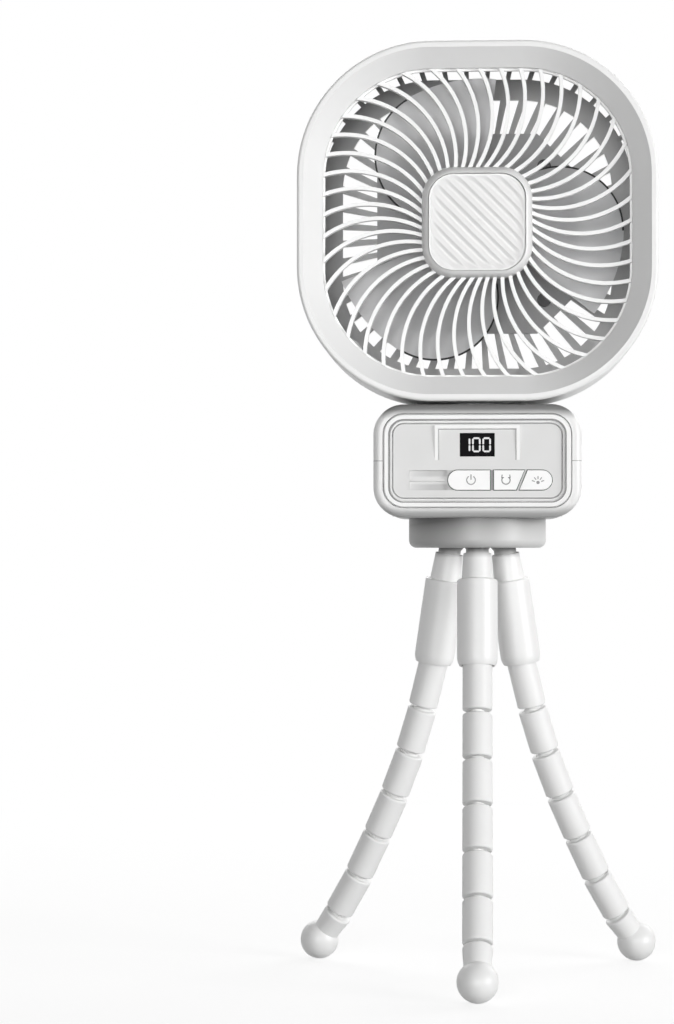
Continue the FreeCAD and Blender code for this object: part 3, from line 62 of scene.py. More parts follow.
# The studio is a plain pale floor in front of nothing. Near the fan the camera sees it near
# white with the shadow of the feet on it, and further off it turns plain white.
class Sock:
    """What a shader node gives. A sum written with it adds the nodes that work it out."""

    def __init__(self, finish, output):
        self.finish = finish
        self.output = output

    def sum(self, operation, first, second):
        return self.finish.node("Math", {0: first, 1: second}, operation=operation)

    def __add__(self, other):
        return self.sum("ADD", self, other)

    __radd__ = __add__

    def __mul__(self, other):
        return self.sum("MULTIPLY", self, other)

    __rmul__ = __mul__

    def __sub__(self, other):
        return self.sum("SUBTRACT", self, other)

    def __rsub__(self, other):
        return self.sum("SUBTRACT", other, self)

    def __truediv__(self, other):
        return self.sum("DIVIDE", self, other)

    def __lt__(self, other):
        return self.sum("LESS_THAN", self, other)

    def __gt__(self, other):
        return self.sum("GREATER_THAN", self, other)

    def __pow__(self, other):
        return self.sum("POWER", self, other)

    def __abs__(self):
        return self.finish.node("Math", {0: self}, operation="ABSOLUTE")

    def at_least(self, other):
        return self.sum("MAXIMUM", self, other)

    def at_most(self, other):
        return self.sum("MINIMUM", self, other)

    def clamped(self):
        """Cut off below 0 and above 1."""
        return self.at_least(0.0).at_most(1.0)


class Finish:
    """The shader nodes of a material or of the world."""

    def __init__(self, owner):
        owner.use_nodes = True
        self.owner = owner
        self.tree = owner.node_tree
        self.tree.nodes.clear()

    def node(self, kind, sockets, output=0, **settings):
        """Adds a node. Its settings come first, then what goes into its sockets."""
        made = self.tree.nodes.new("ShaderNode" + kind)
        for name, setting in settings.items():
            setattr(made, name, setting)
        for socket, content in sockets.items():
            if isinstance(content, Sock):
                self.tree.links.new(content.output, made.inputs[socket])
            else:
                made.inputs[socket].default_value = content
        return Sock(self, made.outputs[output]) if len(made.outputs) else None

    def place(self, axis=None):
        """Where a point is on its piece, in metres, or its X, Y or Z."""
        point = self.node("TexCoord", {}, output="Object")
        if axis is None:
            return point
        return self.node("SeparateXYZ", {0: point}, output=axis)

    def mix(self, factor, first, second):
        """One colour turning into another. The node's colour sockets go by number."""
        first, second = ((*c, 1.0) if isinstance(c, tuple) else c for c in (first, second))
        return self.node("Mix", {0: factor, 6: first, 7: second}, output=2, data_type="RGBA")

    def cloud(self, size, detail=2.0):
        """Soft noise from 0 to 1, whose patches have that size in metres."""
        return self.node("TexNoise", {"Vector": self.place(), "Scale": 1 / size, "Detail": detail})

    def skin(self, sockets):
        """Ends a material with the shader that shows, with these in its sockets."""
        shader = self.node("BsdfPrincipled", sockets)
        self.node("OutputMaterial", {"Surface": shader})


def grey(level):
    """A colour without a tint."""
    return (level, level, level)


def seen_rays(finish):
    """1 for the rays that show a thing or its image, 0 for those that only light."""
    total = 0.0
    for kind in ("Is Camera Ray", "Is Glossy Ray", "Is Transmission Ray"):
        total = finish.node("LightPath", {}, output=kind) + total
    return total.at_most(1.0)


FLOOR_SIZE = 12.0
FLOOR_SHADE = grey(0.36)
FLOOR_GLOW = grey(0.77)
PLAIN_WHITE = grey(1.0)
# how far from the middle the floor starts and ends turning white, in metres
FLOOR_NEAR = 0.25
FLOOR_FAR = 0.7

floor_mesh = bpy.data.meshes.new("studio_floor")
floor_form = bmesh.new()
bmesh.ops.create_grid(floor_form, x_segments=1, y_segments=1, size=FLOOR_SIZE / 2)
floor_form.to_mesh(floor_mesh)
floor_form.free()
floor = bpy.data.objects.new("studio_floor", floor_mesh)
bpy.context.scene.collection.objects.link(floor)

floor_finish = Finish(bpy.data.materials.new("studio_floor"))
floor_seen = seen_rays(floor_finish)
from_middle = floor_finish.node(
    "VectorMath", {0: floor_finish.place()}, output="Value", operation="LENGTH",
)
far_off = ((from_middle - FLOOR_NEAR) / (FLOOR_FAR - FLOOR_NEAR)).clamped()
floor_matt = floor_finish.node("BsdfDiffuse", {"Color": (*FLOOR_SHADE, 1.0)})
floor_glow = floor_finish.node("Emission", {"Color": (*FLOOR_GLOW, 1.0)})
floor_lit = floor_finish.node("AddShader", {0: floor_matt, 1: floor_glow})
floor_near = floor_finish.node("MixShader", {0: floor_seen, 1: floor_matt, 2: floor_lit})
floor_white = floor_finish.node("Emission", {"Color": (*PLAIN_WHITE, 1.0)})
floor_skin = floor_finish.node("MixShader", {0: floor_seen * far_off, 1: floor_near, 2: floor_white})
floor_finish.node("OutputMaterial", {"Surface": floor_skin})
floor_mesh.materials.append(floor_finish.owner)

# The room round the studio is white to look at and lights the fan weakly from all sides.
# Five broad soft lamps do the rest, the brightest of them on the right.
ROOM_LIGHT = 0.045
LAMP_TARGET = Vector((0.0, 0.0, 0.19))
# name: bearing from the front towards the right, height, distance, width and share of light
LAMPS = {
    "key_lamp": (58, 2, 2.0, 1.0, 0.85),
    "front_lamp": (-6, 0, 2.2, 1.0, 0.62),
    "back_lamp": (140, 30, 2.1, 1.4, 0.34),
    "rear_lamp": (-165, 35, 2.2, 1.5, 0.36),
    "left_lamp": (-115, 20, 2.2, 1.6, 0.08),
}

world = bpy.data.worlds.new("studio_room")
bpy.context.scene.world = world
room = Finish(world)
room_strength = seen_rays(room) * (1 - ROOM_LIGHT) + ROOM_LIGHT
room_glow = room.node("Background", {"Color": (*PLAIN_WHITE, 1.0), "Strength": room_strength})
room.node("OutputWorld", {"Surface": room_glow})
bpy.context.scene.view_settings.view_transform = "Standard"

for lamp_name, (bearing, height, distance, width, share) in LAMPS.items():
    lamp_data = bpy.data.lights.new(lamp_name, "AREA")
    lamp_data.size = width
    # the power at which a white surface facing the lamp shows that share of white
    lamp_data.energy = share * (math.pi * distance) ** 2
    lamp = bpy.data.objects.new(lamp_name, lamp_data)
    bpy.context.scene.collection.objects.link(lamp)
    round_by, up_by = math.radians(bearing), math.radians(height)
    level = Vector((math.sin(round_by), -math.cos(round_by), 0))
    away = level * math.cos(up_by) + Vector((0, 0, math.sin(up_by)))
    lamp.location = LAMP_TARGET + away * distance
    lamp.rotation_euler = (-away).to_track_quat("-Z", "Y").to_euler()
    lamp.visible_camera = False


# The legs are rows of white moulded links. Each snaps with its ball into the socket of the
# next, and the last one ends in a ball of white rubber that stands on the floor.
def dress(finish, *names):
    """Gives pieces of the frame their finish."""
    for name in names:
        nodes[name].data.materials.clear()
        nodes[name].data.materials.append(finish.owner)


# the patches of uneven colour, how dark they are, and the smears that change the gloss
UNEVEN_SIZE = 22 * MM
UNEVEN_SHADE = 0.955
SMEAR_SIZE = 9 * MM
SMEAR_ROUGHNESS = 0.12
GRAIN_ROUGHNESS = 0.05
GRAIN_STRENGTH = 0.5


def moulded(
    name, shade, roughness, grain=0.6 * MM, relief=0.012 * MM, tint=None, shape=None, more=(),
):
    """Moulded plastic: faint uneven colour, a fine even grain and satin gloss.

    tint takes the finish and its colour so far, and gives the colour that shows.
    shape takes the finish and gives a height in metres that bends the light.
    more holds pairs of a socket of the shader and what goes into it."""
    finish = Finish(bpy.data.materials.new(name))
    uneven = finish.cloud(UNEVEN_SIZE, detail=3.0)
    dull = tuple(part * UNEVEN_SHADE for part in shade)
    colour = finish.mix(uneven, dull, shade)
    if tint:
        colour = tint(finish, colour)
    speckle = finish.cloud(grain)
    smear = finish.cloud(SMEAR_SIZE, detail=4.0)
    bump = finish.node("Bump", {"Strength": GRAIN_STRENGTH, "Distance": relief, "Height": speckle})
    if shape:
        height = shape(finish)
        bump = finish.node("Bump", {"Strength": 1.0, "Distance": 1.0, "Height": height, "Normal": bump})
    gloss = (smear - 0.5) * SMEAR_ROUGHNESS + (speckle - 0.5) * GRAIN_ROUGHNESS + roughness
    finish.skin({"Base Color": colour, "Roughness": gloss, "Normal": bump, **dict(more)})
    return finish


WHITE = (0.905, 0.905, 0.9)
SLEEVE_WHITE = (0.92, 0.92, 0.915)
FOOT_WHITE = (0.91, 0.91, 0.905)
NECK_DARK = grey(0.09)
NECK_SHARE = 0.9
NECK_HEIGHT = 3.6 * MM
LEG_SIDES = ("front", "right", "left")
LINK_PLACES = ("first", "second", "third", "fourth", "fifth", "sixth")

hub_low, hub_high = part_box("tripod_hub")


def neck_shade(finish, colour):
    """The necks of the thighs lie in the shade of the hub."""
    rise = (finish.place("Z") - hub_low.z + NECK_HEIGHT) / NECK_HEIGHT
    return finish.mix(rise.clamped() * NECK_SHARE, colour, NECK_DARK)


core_finish = moulded("core_white", WHITE, roughness=0.42, grain=0.9 * MM, tint=neck_shade)
link_finish = moulded("link_white", WHITE, roughness=0.42, grain=0.9 * MM)
sleeve_finish = moulded("sleeve_white", SLEEVE_WHITE, roughness=0.36, grain=0.7 * MM)
foot_finish = moulded("foot_rubber", FOOT_WHITE, roughness=0.34, grain=0.5 * MM, relief=0.02 * MM)
for side in LEG_SIDES:
    dress(core_finish, f"{side}_thigh_core")
    dress(link_finish, *(f"{side}_link_{place}" for place in LINK_PLACES))
    dress(sleeve_finish, f"{side}_thigh_sleeve")
    dress(foot_finish, f"{side}_foot")

# The hub is a round puck of light grey plastic with three ball sockets. The control box
# stands on it, and two steel screws from inside the box hold it.
HUB_GREY = (0.74, 0.74, 0.735)
HUB_DARK = grey(0.07)
HUB_SHADE_HEIGHT = 9 * MM
HUB_SHADE_SHARE = 0.6
HUB_DARKEST = 0.9


def hub_shade(finish, colour):
    """The hub is darker close under the box, more so on its left."""
    rise = ((finish.place("Z") - hub_high.z + HUB_SHADE_HEIGHT) / HUB_SHADE_HEIGHT).clamped()
    left = (0.5 - finish.place("X") / (hub_high.x - hub_low.x)).clamped()
    shade = (rise * rise * HUB_SHADE_SHARE + left * HUB_SHADE_SHARE).at_most(HUB_DARKEST)
    return finish.mix(shade, colour, HUB_DARK)


dress(moulded("hub_white", HUB_GREY, roughness=0.4, tint=hub_shade), "tripod_hub")

DIRT_SIZE = 4 * MM
DIRT_SHADE = 0.8
DIRT_ROUGHNESS = 0.15
TURNED_PITCH = 0.35 * MM
TURNED_DEPTH = 0.01 * MM
TURNED_STRENGTH = 0.3
TURNED_WANDER = 1.5
STEEL = (0.56, 0.56, 0.57)


def metal(name, shade, roughness):
    """Turned or drawn metal with fine lines."""
    finish = Finish(bpy.data.materials.new(name))
    lines = finish.node(
        "TexWave",
        {"Vector": finish.place(), "Scale": 1 / TURNED_PITCH, "Distortion": TURNED_WANDER},
        output="Fac", bands_direction="DIAGONAL",
    )
    dirt = finish.cloud(DIRT_SIZE, detail=3.0)
    colour = finish.mix(dirt, tuple(part * DIRT_SHADE for part in shade), shade)
    bump = finish.node(
        "Bump", {"Strength": TURNED_STRENGTH, "Distance": TURNED_DEPTH, "Height": lines},
    )
    gloss = dirt * DIRT_ROUGHNESS + roughness
    finish.skin({"Base Color": colour, "Metallic": 1.0, "Roughness": gloss, "Normal": bump})
    return finish


steel_finish = metal("screw_steel", STEEL, roughness=0.28)
dress(steel_finish, "hub_screws", "box_screws", "tilt_pin", "swing_shaft", "charging_socket")

# The control box is two white shells that meet at mid height. A fine line shows where they
# part, and the box is satin all over.
SEAM_HALF = 0.11 * MM
SEAM_GREY = grey(0.3)
# how far from the middle the shade of the upper and lower edge starts, and how fast it comes
UPPER_SHADE_START = 15.05 * MM
LOWER_SHADE_START = 15.4 * MM
EDGE_SHADE_REACH = 3.5 * MM
UPPER_SHADE_SHARE = 0.85
LOWER_SHADE_SHARE = 0.55
EDGE_DARK = grey(0.1)

box_low, lower_shell_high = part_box("box_lower_shell")
box_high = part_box("box_upper_shell")[1]
box_middle = (box_low.z + box_high.z) / 2


def box_shade(finish, colour):
    """The line where the shells part, and the shade above and below the panel."""
    rise = finish.place("Z") - box_middle
    above = ((rise - UPPER_SHADE_START) / EDGE_SHADE_REACH).clamped()
    below = ((-LOWER_SHADE_START - rise) / EDGE_SHADE_REACH).clamped()
    shade = above * UPPER_SHADE_SHARE + below * LOWER_SHADE_SHARE
    seam = abs(finish.place("Z") - lower_shell_high.z) < SEAM_HALF
    return finish.mix(seam, finish.mix(shade, colour, EDGE_DARK), SEAM_GREY)


box_finish = moulded("box_white", WHITE, roughness=0.38, tint=box_shade)
dress(box_finish, "box_upper_shell", "box_lower_shell")

# The panel is a stepped white frame with a thinner plate in it. The plate has a raised
# visor round the display, holes for three buttons and a shallow trough beside them.
BOX_CORNER = 11.0 * MM
RING_INSET = 5.4 * MM
RING_STEP = 0.5 * MM
RING_DARK = grey(0.16)

FASCIA_GREY = (0.72, 0.72, 0.715)
FASCIA_CORNER = 4.2 * MM
FASCIA_RIM = 0.3 * MM
RIM_GREY = grey(0.3)
# painted shade on the faces of the plate behind its front, such as the walls of its holes
CUT_DEPTH = 0.08 * MM
CUT_SHADE = grey(0.12)
# painted shade on the strip between the power and swing buttons
KEY_GAP_SHADE = grey(0.26)

# painted shade in the trough beside the power button, fading out towards its left
TROUGH_LEFT = -26.0 * MM
TROUGH_OVERLAP = 2 * MM
TROUGH_FLOOR_HALF = 0.9 * MM
TROUGH_SLOPE = 0.8 * MM
TROUGH_FADE = 9 * MM
TROUGH_SHADE_SHARE = 0.42
TROUGH_SHADE = grey(0.2)

VISOR_HALF = 15.3 * MM
VISOR_WALL = 1.2 * MM
# width of the painted shadow line just inside the visor bars
VISOR_SHADOW_WIDTH = 0.4 * MM
VISOR_FOOT = 0.3 * MM
VISOR_TOP = 12.8 * MM
VISOR_PROUD = 0.9 * MM
# painted highlight that makes the raised visor bars whiter than the plate
VISOR_HIGHLIGHT = (0.97, 0.97, 0.965)
VISOR_SHADOW_SHARE = 0.6
VISOR_SHADOW_DARK = grey(0.1)

fascia_low, fascia_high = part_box("fascia")
power_low, power_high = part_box("power_button")
swing_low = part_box("swing_button")[0]
key_z = (power_low.z + power_high.z) / 2


def inset(finish, low, high, corner):
    """How far inside a round-cornered outline, seen from the front, a point lies."""
    x = abs(finish.place("X") - (low.x + high.x) / 2) - ((high.x - low.x) / 2 - corner)
    z = abs(finish.place("Z") - (low.z + high.z) / 2) - ((high.z - low.z) / 2 - corner)
    round_x, round_z = x.at_least(0.0), z.at_least(0.0)
    return corner - (round_x * round_x + round_z * round_z) ** 0.5 - x.at_least(z).at_most(0.0)


def patch(finish, left, right, low, high):
    """1 inside a rectangle seen from the front."""
    x, z = finish.place("X"), finish.place("Z")
    return (x > left) * (x < right) * (z > low) * (z < high)


def visor_patch(finish, inward):
    """1 inside the outline of the visor, drawn in by some way at its sides and top."""
    half = VISOR_HALF - inward
    return patch(finish, -half, half, box_middle + VISOR_FOOT, box_middle + VISOR_TOP - inward)


def panel_shade(finish, colour):
    """The step inside the outer ring throws a dark line."""
    ring = inset(finish, box_low, box_high, BOX_CORNER)
    line = (ring > RING_INSET) * (ring < RING_INSET + RING_STEP)
    return finish.mix(line, colour, RING_DARK)


def fascia_shade(finish, colour):
    """Painted highlight on the white visor; painted shade in dark lines inside it, a grey trough, the
    cuts and between the buttons.
    """
    x, y, z = finish.place("X"), finish.place("Y"), finish.place("Z")
    trough = patch(finish, TROUGH_LEFT, power_low.x + TROUGH_OVERLAP, power_low.z, power_high.z)
    # painted shade on the faces behind the front of the plate, except in the trough
    cut = (y > fascia_low.y + VISOR_PROUD + CUT_DEPTH) * (1.0 - trough)
    shown = finish.mix(cut, colour, CUT_SHADE)
    # painted shade between the power and swing buttons
    key_gap = patch(finish, power_high.x, swing_low.x, power_low.z, power_high.z)
    shown = finish.mix(key_gap, shown, KEY_GAP_SHADE)
    # painted shade along the upper and lower sides of the trough, fading out to its left
    deep = ((abs(z - key_z) - TROUGH_FLOOR_HALF) / TROUGH_SLOPE).clamped()
    along = ((x - TROUGH_LEFT) / TROUGH_FADE).at_most(1.0)
    shown = finish.mix(trough * deep * along * TROUGH_SHADE_SHARE, shown, TROUGH_SHADE)
    inner = visor_patch(finish, VISOR_WALL)
    # painted highlight on the raised visor bars
    shown = finish.mix(visor_patch(finish, 0.0) * (1.0 - inner), shown, VISOR_HIGHLIGHT)
    # painted shadow lines just inside the visor bars
    line = inner * (1.0 - visor_patch(finish, VISOR_WALL + VISOR_SHADOW_WIDTH))
    shown = finish.mix(line * VISOR_SHADOW_SHARE, shown, VISOR_SHADOW_DARK)
    rim = inset(finish, fascia_low, fascia_high, FASCIA_CORNER) < FASCIA_RIM
    return finish.mix(rim, shown, RIM_GREY)


dress(moulded("panel_white", WHITE, roughness=0.33, tint=panel_shade), "panel_frame")
dress(moulded("fascia_white", FASCIA_GREY, roughness=0.36, tint=fascia_shade), "fascia")

# The three buttons are white caps that rise a little out of the plate. Each has a grey sign
# printed on it: on and off, swing, and light.
BUTTON_WHITE = (0.92, 0.92, 0.915)
# painted shade on the sides of the buttons, behind their fronts
BUTTON_EDGE_SHADE = grey(0.16)
BUTTON_EDGE_DEPTH = 0.05 * MM
SIGN_GREY = grey(0.27)
SIGN_DEPTH = 0.03 * MM
SIGN_X = {"power": -2.25 * MM, "swing": 10.3 * MM, "light": 21.8 * MM}
LIGHT_SIGN_DROP = 0.9 * MM
ARC_STEPS_PER_RADIAN = 8
LEAST_ARC_STEPS = 6

light_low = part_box("light_button")[0]


def button_edge_shade(finish, colour):
    """Round its edge each button drops into a gap, whose sides get painted shade."""
    edge = finish.place("Y") > power_low.y + BUTTON_EDGE_DEPTH
    return finish.mix(edge, colour, BUTTON_EDGE_SHADE)


button_finish = moulded("button_white", BUTTON_WHITE, roughness=0.3, tint=button_edge_shade)
dress(button_finish, "power_button", "swing_button", "light_button")
print_finish = moulded("sign_grey", SIGN_GREY, roughness=0.45)


def new_piece(name, form, finish, body, smooth=False):
    """Makes a mesh a piece of the fan that rides on one of its bodies."""
    mesh = bpy.data.meshes.new(name)
    form.to_mesh(mesh)
    form.free()
    mesh.materials.append(finish.owner)
    if smooth:
        mesh.shade_smooth()
    made = bpy.data.objects.new(name, mesh)
    bpy.context.scene.collection.objects.link(made)
    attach(made, body)
    return made


def facing_front(x, y, z):
    """Turns what lies flat on the ground up to face the front, at a place."""
    return Matrix.Translation((x, y, z)) @ Matrix.Rotation(math.pi / 2, 4, "X")


def thicken(form, depth):
    """Gives a flat drawing that faces the front a thickness towards the front."""
    raised = bmesh.ops.extrude_face_region(form, geom=form.faces[:])
    moved = [part for part in raised["geom"] if isinstance(part, bmesh.types.BMVert)]
    bmesh.ops.translate(form, vec=(0, -depth, 0), verts=moved)
    bmesh.ops.recalc_face_normals(form, faces=form.faces)


def bar_sign(form, length, width, spot, turn=0.0):
    """A flat bar in the plane of a sign, about a spot, turned anticlockwise."""
    stretch = Matrix.Diagonal((width, length, 1, 1))
    matrix = Matrix.Translation((*spot, 0)) @ Matrix.Rotation(turn, 4, "Z") @ stretch
    bmesh.ops.create_grid(form, x_segments=1, y_segments=1, size=0.5, matrix=matrix)


def arc_sign(form, radius, width, start, sweep):
    """A flat arc about the middle of a sign, from an angle on, anticlockwise."""
    ray = Matrix.Rotation(start, 3, "Z") @ Vector((1, 0, 0))
    inner = form.verts.new(ray * (radius - width / 2))
    outer = form.verts.new(ray * (radius + width / 2))
    edge = form.edges.new((inner, outer))
    steps = max(LEAST_ARC_STEPS, round(abs(sweep) * ARC_STEPS_PER_RADIAN))
    bmesh.ops.spin(
        form, geom=[inner, outer, edge], cent=(0, 0, 0), axis=(0, 0, 1), angle=sweep, steps=steps,
    )


def print_sign(name, draw, x, z, front, body):
    """Draws a sign flat, stands it up on the front of a button and gives it a thickness."""
    form = bmesh.new()
    draw(form)
    bmesh.ops.recalc_face_normals(form, faces=form.faces)
    for face in form.faces:
        if face.normal.z < 0:
            face.normal_flip()
    bmesh.ops.transform(form, matrix=facing_front(x, front, z), verts=form.verts)
    thicken(form, SIGN_DEPTH)
    return new_piece(name, form, print_finish, body)


def power_sign(form):
    """A ring with a gap above, and a bar in the gap."""
    arc_sign(form, radius=1.55 * MM, width=0.38 * MM, start=math.radians(122), sweep=math.radians(296))
    bar_sign(form, length=1.9 * MM, width=0.38 * MM, spot=(0, 1.1 * MM))


def swing_sign(form):
    """A horseshoe whose ends point outwards, for turning left and right."""
    arc_sign(form, radius=1.5 * MM, width=0.4 * MM, start=math.radians(140), sweep=math.radians(260))
    for hand in (-1, 1):
        tip, barb = (hand * 1.45 * MM, 1.35 * MM), (hand * 1.15 * MM, 0.8 * MM)
        bar_sign(form, length=1.2 * MM, width=0.36 * MM, spot=tip, turn=hand * math.radians(8))
        bar_sign(form, length=0.9 * MM, width=0.36 * MM, spot=barb, turn=hand * math.radians(75))


def light_sign(form):
    """A small lamp below, with five rays above it."""
    arc_sign(form, radius=0.3 * MM, width=0.6 * MM, start=0.0, sweep=2 * math.pi)
    for turn in (-72, -36, 0, 36, 72):
        way = math.radians(turn)
        spot = Matrix.Rotation(way, 2) @ Vector((0, 1.75 * MM))
        bar_sign(form, length=1.15 * MM, width=0.36 * MM, spot=spot, turn=way)


print_sign("power_sign", power_sign, SIGN_X["power"], key_z, power_low.y, "power_key")
print_sign("swing_sign", swing_sign, SIGN_X["swing"], key_z, swing_low.y, "swing_key")
print_sign("light_sign", light_sign, SIGN_X["light"], key_z - LIGHT_SIGN_DROP, light_low.y, "light_key")

# Behind a black window three lit digits tell the charge of the cells. Each digit is made
# of strokes with pointed ends, two for the one and six for a nought.
WINDOW_DARK = (0.002, 0.002, 0.003)
WINDOW_LESS_DARK = (0.005, 0.005, 0.006)
WINDOW_HAZE_SIZE = 3 * MM
WINDOW_ROUGHNESS = 0.12
WINDOW_HAZE_ROUGHNESS = 0.08
WINDOW_SHINE = 0.01
DIGIT_GREY = (0.6, 0.6, 0.61)
DIGIT_WHITE = grey(0.75)
GLOW_GREY = (0.62, 0.62, 0.63)
GLOW_WHITE = grey(0.8)
GLOW_STRENGTH = 0.15
DIGIT_HAZE_SIZE = 0.4 * MM
DIGIT_ROUGHNESS = 0.4

DIGIT_WIDTH = 3.1 * MM
DIGIT_HEIGHT = 5.4 * MM
DIGIT_STROKE = 0.64 * MM
DIGIT_PITCH = 3.7 * MM
DIGIT_SHIFT = -0.32 * MM
DIGIT_SLIT = 0.05 * MM
DIGIT_PROUD = 0.06 * MM
ONE = ("upper_right", "lower_right")
NOUGHT = ("top", "upper_left", "upper_right", "lower_left", "lower_right", "bottom")
# each stroke: its place to the right, its place upwards, and whether it lies flat
STROKES = {
    "top": (0, 2, True), "upper_left": (-1, 1, False), "upper_right": (1, 1, False),
    "lower_left": (-1, -1, False), "lower_right": (1, -1, False), "bottom": (0, -2, True),
}

window_low, window_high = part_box("display_module")
window_x, window_z = (window_low.x + window_high.x) / 2, (window_low.z + window_high.z) / 2

window_finish = Finish(bpy.data.materials.new("window_black"))
window_haze = window_finish.cloud(WINDOW_HAZE_SIZE)
window_finish.skin({
    "Base Color": window_finish.mix(window_haze, WINDOW_DARK, WINDOW_LESS_DARK),
    "Roughness": window_haze * WINDOW_HAZE_ROUGHNESS + WINDOW_ROUGHNESS,
    "Specular IOR Level": WINDOW_SHINE,
})
dress(window_finish, "display_module")

digit_finish = Finish(bpy.data.materials.new("digit_white"))
digit_haze = digit_finish.cloud(DIGIT_HAZE_SIZE, detail=1.0)
digit_finish.skin({
    "Base Color": digit_finish.mix(digit_haze, DIGIT_GREY, DIGIT_WHITE),
    "Roughness": DIGIT_ROUGHNESS,
    "Emission Color": digit_finish.mix(digit_haze, GLOW_GREY, GLOW_WHITE),
    "Emission Strength": GLOW_STRENGTH,
})

digit_form = bmesh.new()
half_wide = (DIGIT_WIDTH - DIGIT_STROKE) / 2
quarter_high = (DIGIT_HEIGHT - DIGIT_STROKE) / 4
for place, shown in enumerate((ONE, NOUGHT, NOUGHT)):
    for stroke in shown:
        side, rise, lies = STROKES[stroke]
        spot_x = DIGIT_SHIFT + (place - 1) * DIGIT_PITCH + side * half_wide
        spot_z = rise * quarter_high
        length = 2 * half_wide if lies else 2 * quarter_high
        # at each end of the strip the middle one of three corners stands out as a point
        strip = bmesh.ops.create_grid(digit_form, x_segments=2, y_segments=1, size=0.5)["verts"]
        for vert in strip:
            reach = length / 2 - DIGIT_SLIT - abs(vert.co.x) * DIGIT_STROKE
            vert.co = (vert.co.x * DIGIT_STROKE, math.copysign(reach, vert.co.y), 0)
        turn = Matrix.Rotation(math.pi / 2 if lies else 0.0, 4, "Z")
        spot = Matrix.Translation((spot_x, spot_z, 0))
        bmesh.ops.transform(digit_form, matrix=spot @ turn, verts=strip)
upright = facing_front(window_x, window_low.y, window_z)
bmesh.ops.transform(digit_form, matrix=upright, verts=digit_form.verts)
thicken(digit_form, DIGIT_PROUD)
digits = new_piece("digits", digit_form, digit_finish, "base")
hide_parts("display_digits")

# Inside the box are the control board with its three switches, two round cells in shrink
# wrap and the gear motor that swings the head.
BOARD_GREEN = (0.02, 0.14, 0.06)
TRACK_GREEN = (0.05, 0.26, 0.11)
TRACK_PITCH = 2.2 * MM
TRACK_EDGE = 0.42
BOARD_DIRT_SIZE = 2 * MM
BOARD_ROUGHNESS = 0.3
BOARD_DIRT_ROUGHNESS = 0.2
BOARD_COAT = 0.3
CELL_BLUE = (0.1, 0.26, 0.5)
SWITCH_BLACK = grey(0.03)
CAN_STEEL = (0.5, 0.5, 0.51)

board_finish = Finish(bpy.data.materials.new("board_green"))
track = board_finish.node(
    "TexVoronoi", {"Vector": board_finish.place(), "Scale": 1 / TRACK_PITCH}, distance="CHEBYCHEV",
)
board_finish.skin({
    "Base Color": board_finish.mix(track > TRACK_EDGE, BOARD_GREEN, TRACK_GREEN),
    "Roughness": board_finish.cloud(BOARD_DIRT_SIZE) * BOARD_DIRT_ROUGHNESS + BOARD_ROUGHNESS,
    "Coat Weight": BOARD_COAT,
})
dress(board_finish, "control_board")
dress(moulded("switch_black", SWITCH_BLACK, roughness=0.45), "switches")
dress(moulded("cell_wrap", CELL_BLUE, roughness=0.25), "battery_cells")
can_finish = metal("motor_can", CAN_STEEL, roughness=0.35)
dress(can_finish, "swing_motor")

# The turntable is let into the top of the box. It carries the head on a hinge with a steel
# pin, so the head swings left and right and tips back.
TURNTABLE_WHITE = (0.86, 0.86, 0.855)

dress(moulded("turntable_white", TURNTABLE_WHITE, roughness=0.4), "turntable")

# The front frame of the head is a rounded square moulding. Its inside slopes in to the
# grille, and what lies behind the grille is painted grey as shade.
FRAME_WHITE = (0.925, 0.925, 0.92)
# painted shade that makes the slope inside the rim greyer
BEZEL_SHADED = (0.87, 0.87, 0.867)
# painted shade, grey, on the faces inside the head
INSIDE_SHADE = grey(0.5)
HEAD_CORNER = 48.5 * MM
HEAD_WALL = 2.2 * MM
BEZEL_INSET = 2.4 * MM
# depths behind the front of the head: past the grille's lip, and past the whole head
PAST_LIP = 8.8 * MM
PAST_ALL = 1.0

frame_low, frame_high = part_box("front_frame")
head_x, head_z = (frame_low.x + frame_high.x) / 2, (frame_low.z + frame_high.z) / 2
head_half = (frame_high.x - frame_low.x) / 2


def inside_head(finish, near, far):
    """1 on the faces inside the head's wall, between two depths behind its front."""
    straight = head_half - HEAD_CORNER
    x = (abs(finish.place("X") - head_x) - straight).at_least(0.0)
    z = (abs(finish.place("Z") - head_z) - straight).at_least(0.0)
    within = (x * x + z * z) < (HEAD_CORNER - HEAD_WALL / 2) ** 2
    depth = finish.place("Y") - frame_low.y
    return within * (depth > near) * (depth < far)


def frame_shade(finish, colour):
    """Painted shade: a greyer slope inside the rim, and grey inside, behind the lip that holds the
    grille.
    """
    within = inset(finish, frame_low, frame_high, HEAD_CORNER) > BEZEL_INSET
    slope = finish.mix(within, colour, BEZEL_SHADED)
    # painted shade inside the head, behind the lip
    return finish.mix(inside_head(finish, PAST_LIP, PAST_ALL), slope, INSIDE_SHADE)


dress(moulded("frame_white", FRAME_WHITE, roughness=0.38, tint=frame_shade), "front_frame")

# The grille is one white moulding of thin bent ribs between a rim and the plate in the
# middle. Its rim seats behind the lip of the frame.
GRILLE_WHITE = (0.93, 0.93, 0.925)
PLATE_HALF = 20.0 * MM
PLATE_CORNER = 11.5 * MM
PLATE_BEVEL = 2.3 * MM
PLATE_SLOPE = 0.7


def plate_bevel(finish):
    """The rounded edge of the middle plate, made a little deeper for the light."""
    low = Vector((head_x - PLATE_HALF, 0, head_z - PLATE_HALF))
    high = Vector((head_x + PLATE_HALF, 0, head_z + PLATE_HALF))
    within = inset(finish, low, high, PLATE_CORNER)
    return within.at_least(0.0).at_most(PLATE_BEVEL) * PLATE_SLOPE


dress(moulded("grille_white", GRILLE_WHITE, roughness=0.32, shape=plate_bevel), "front_grille")

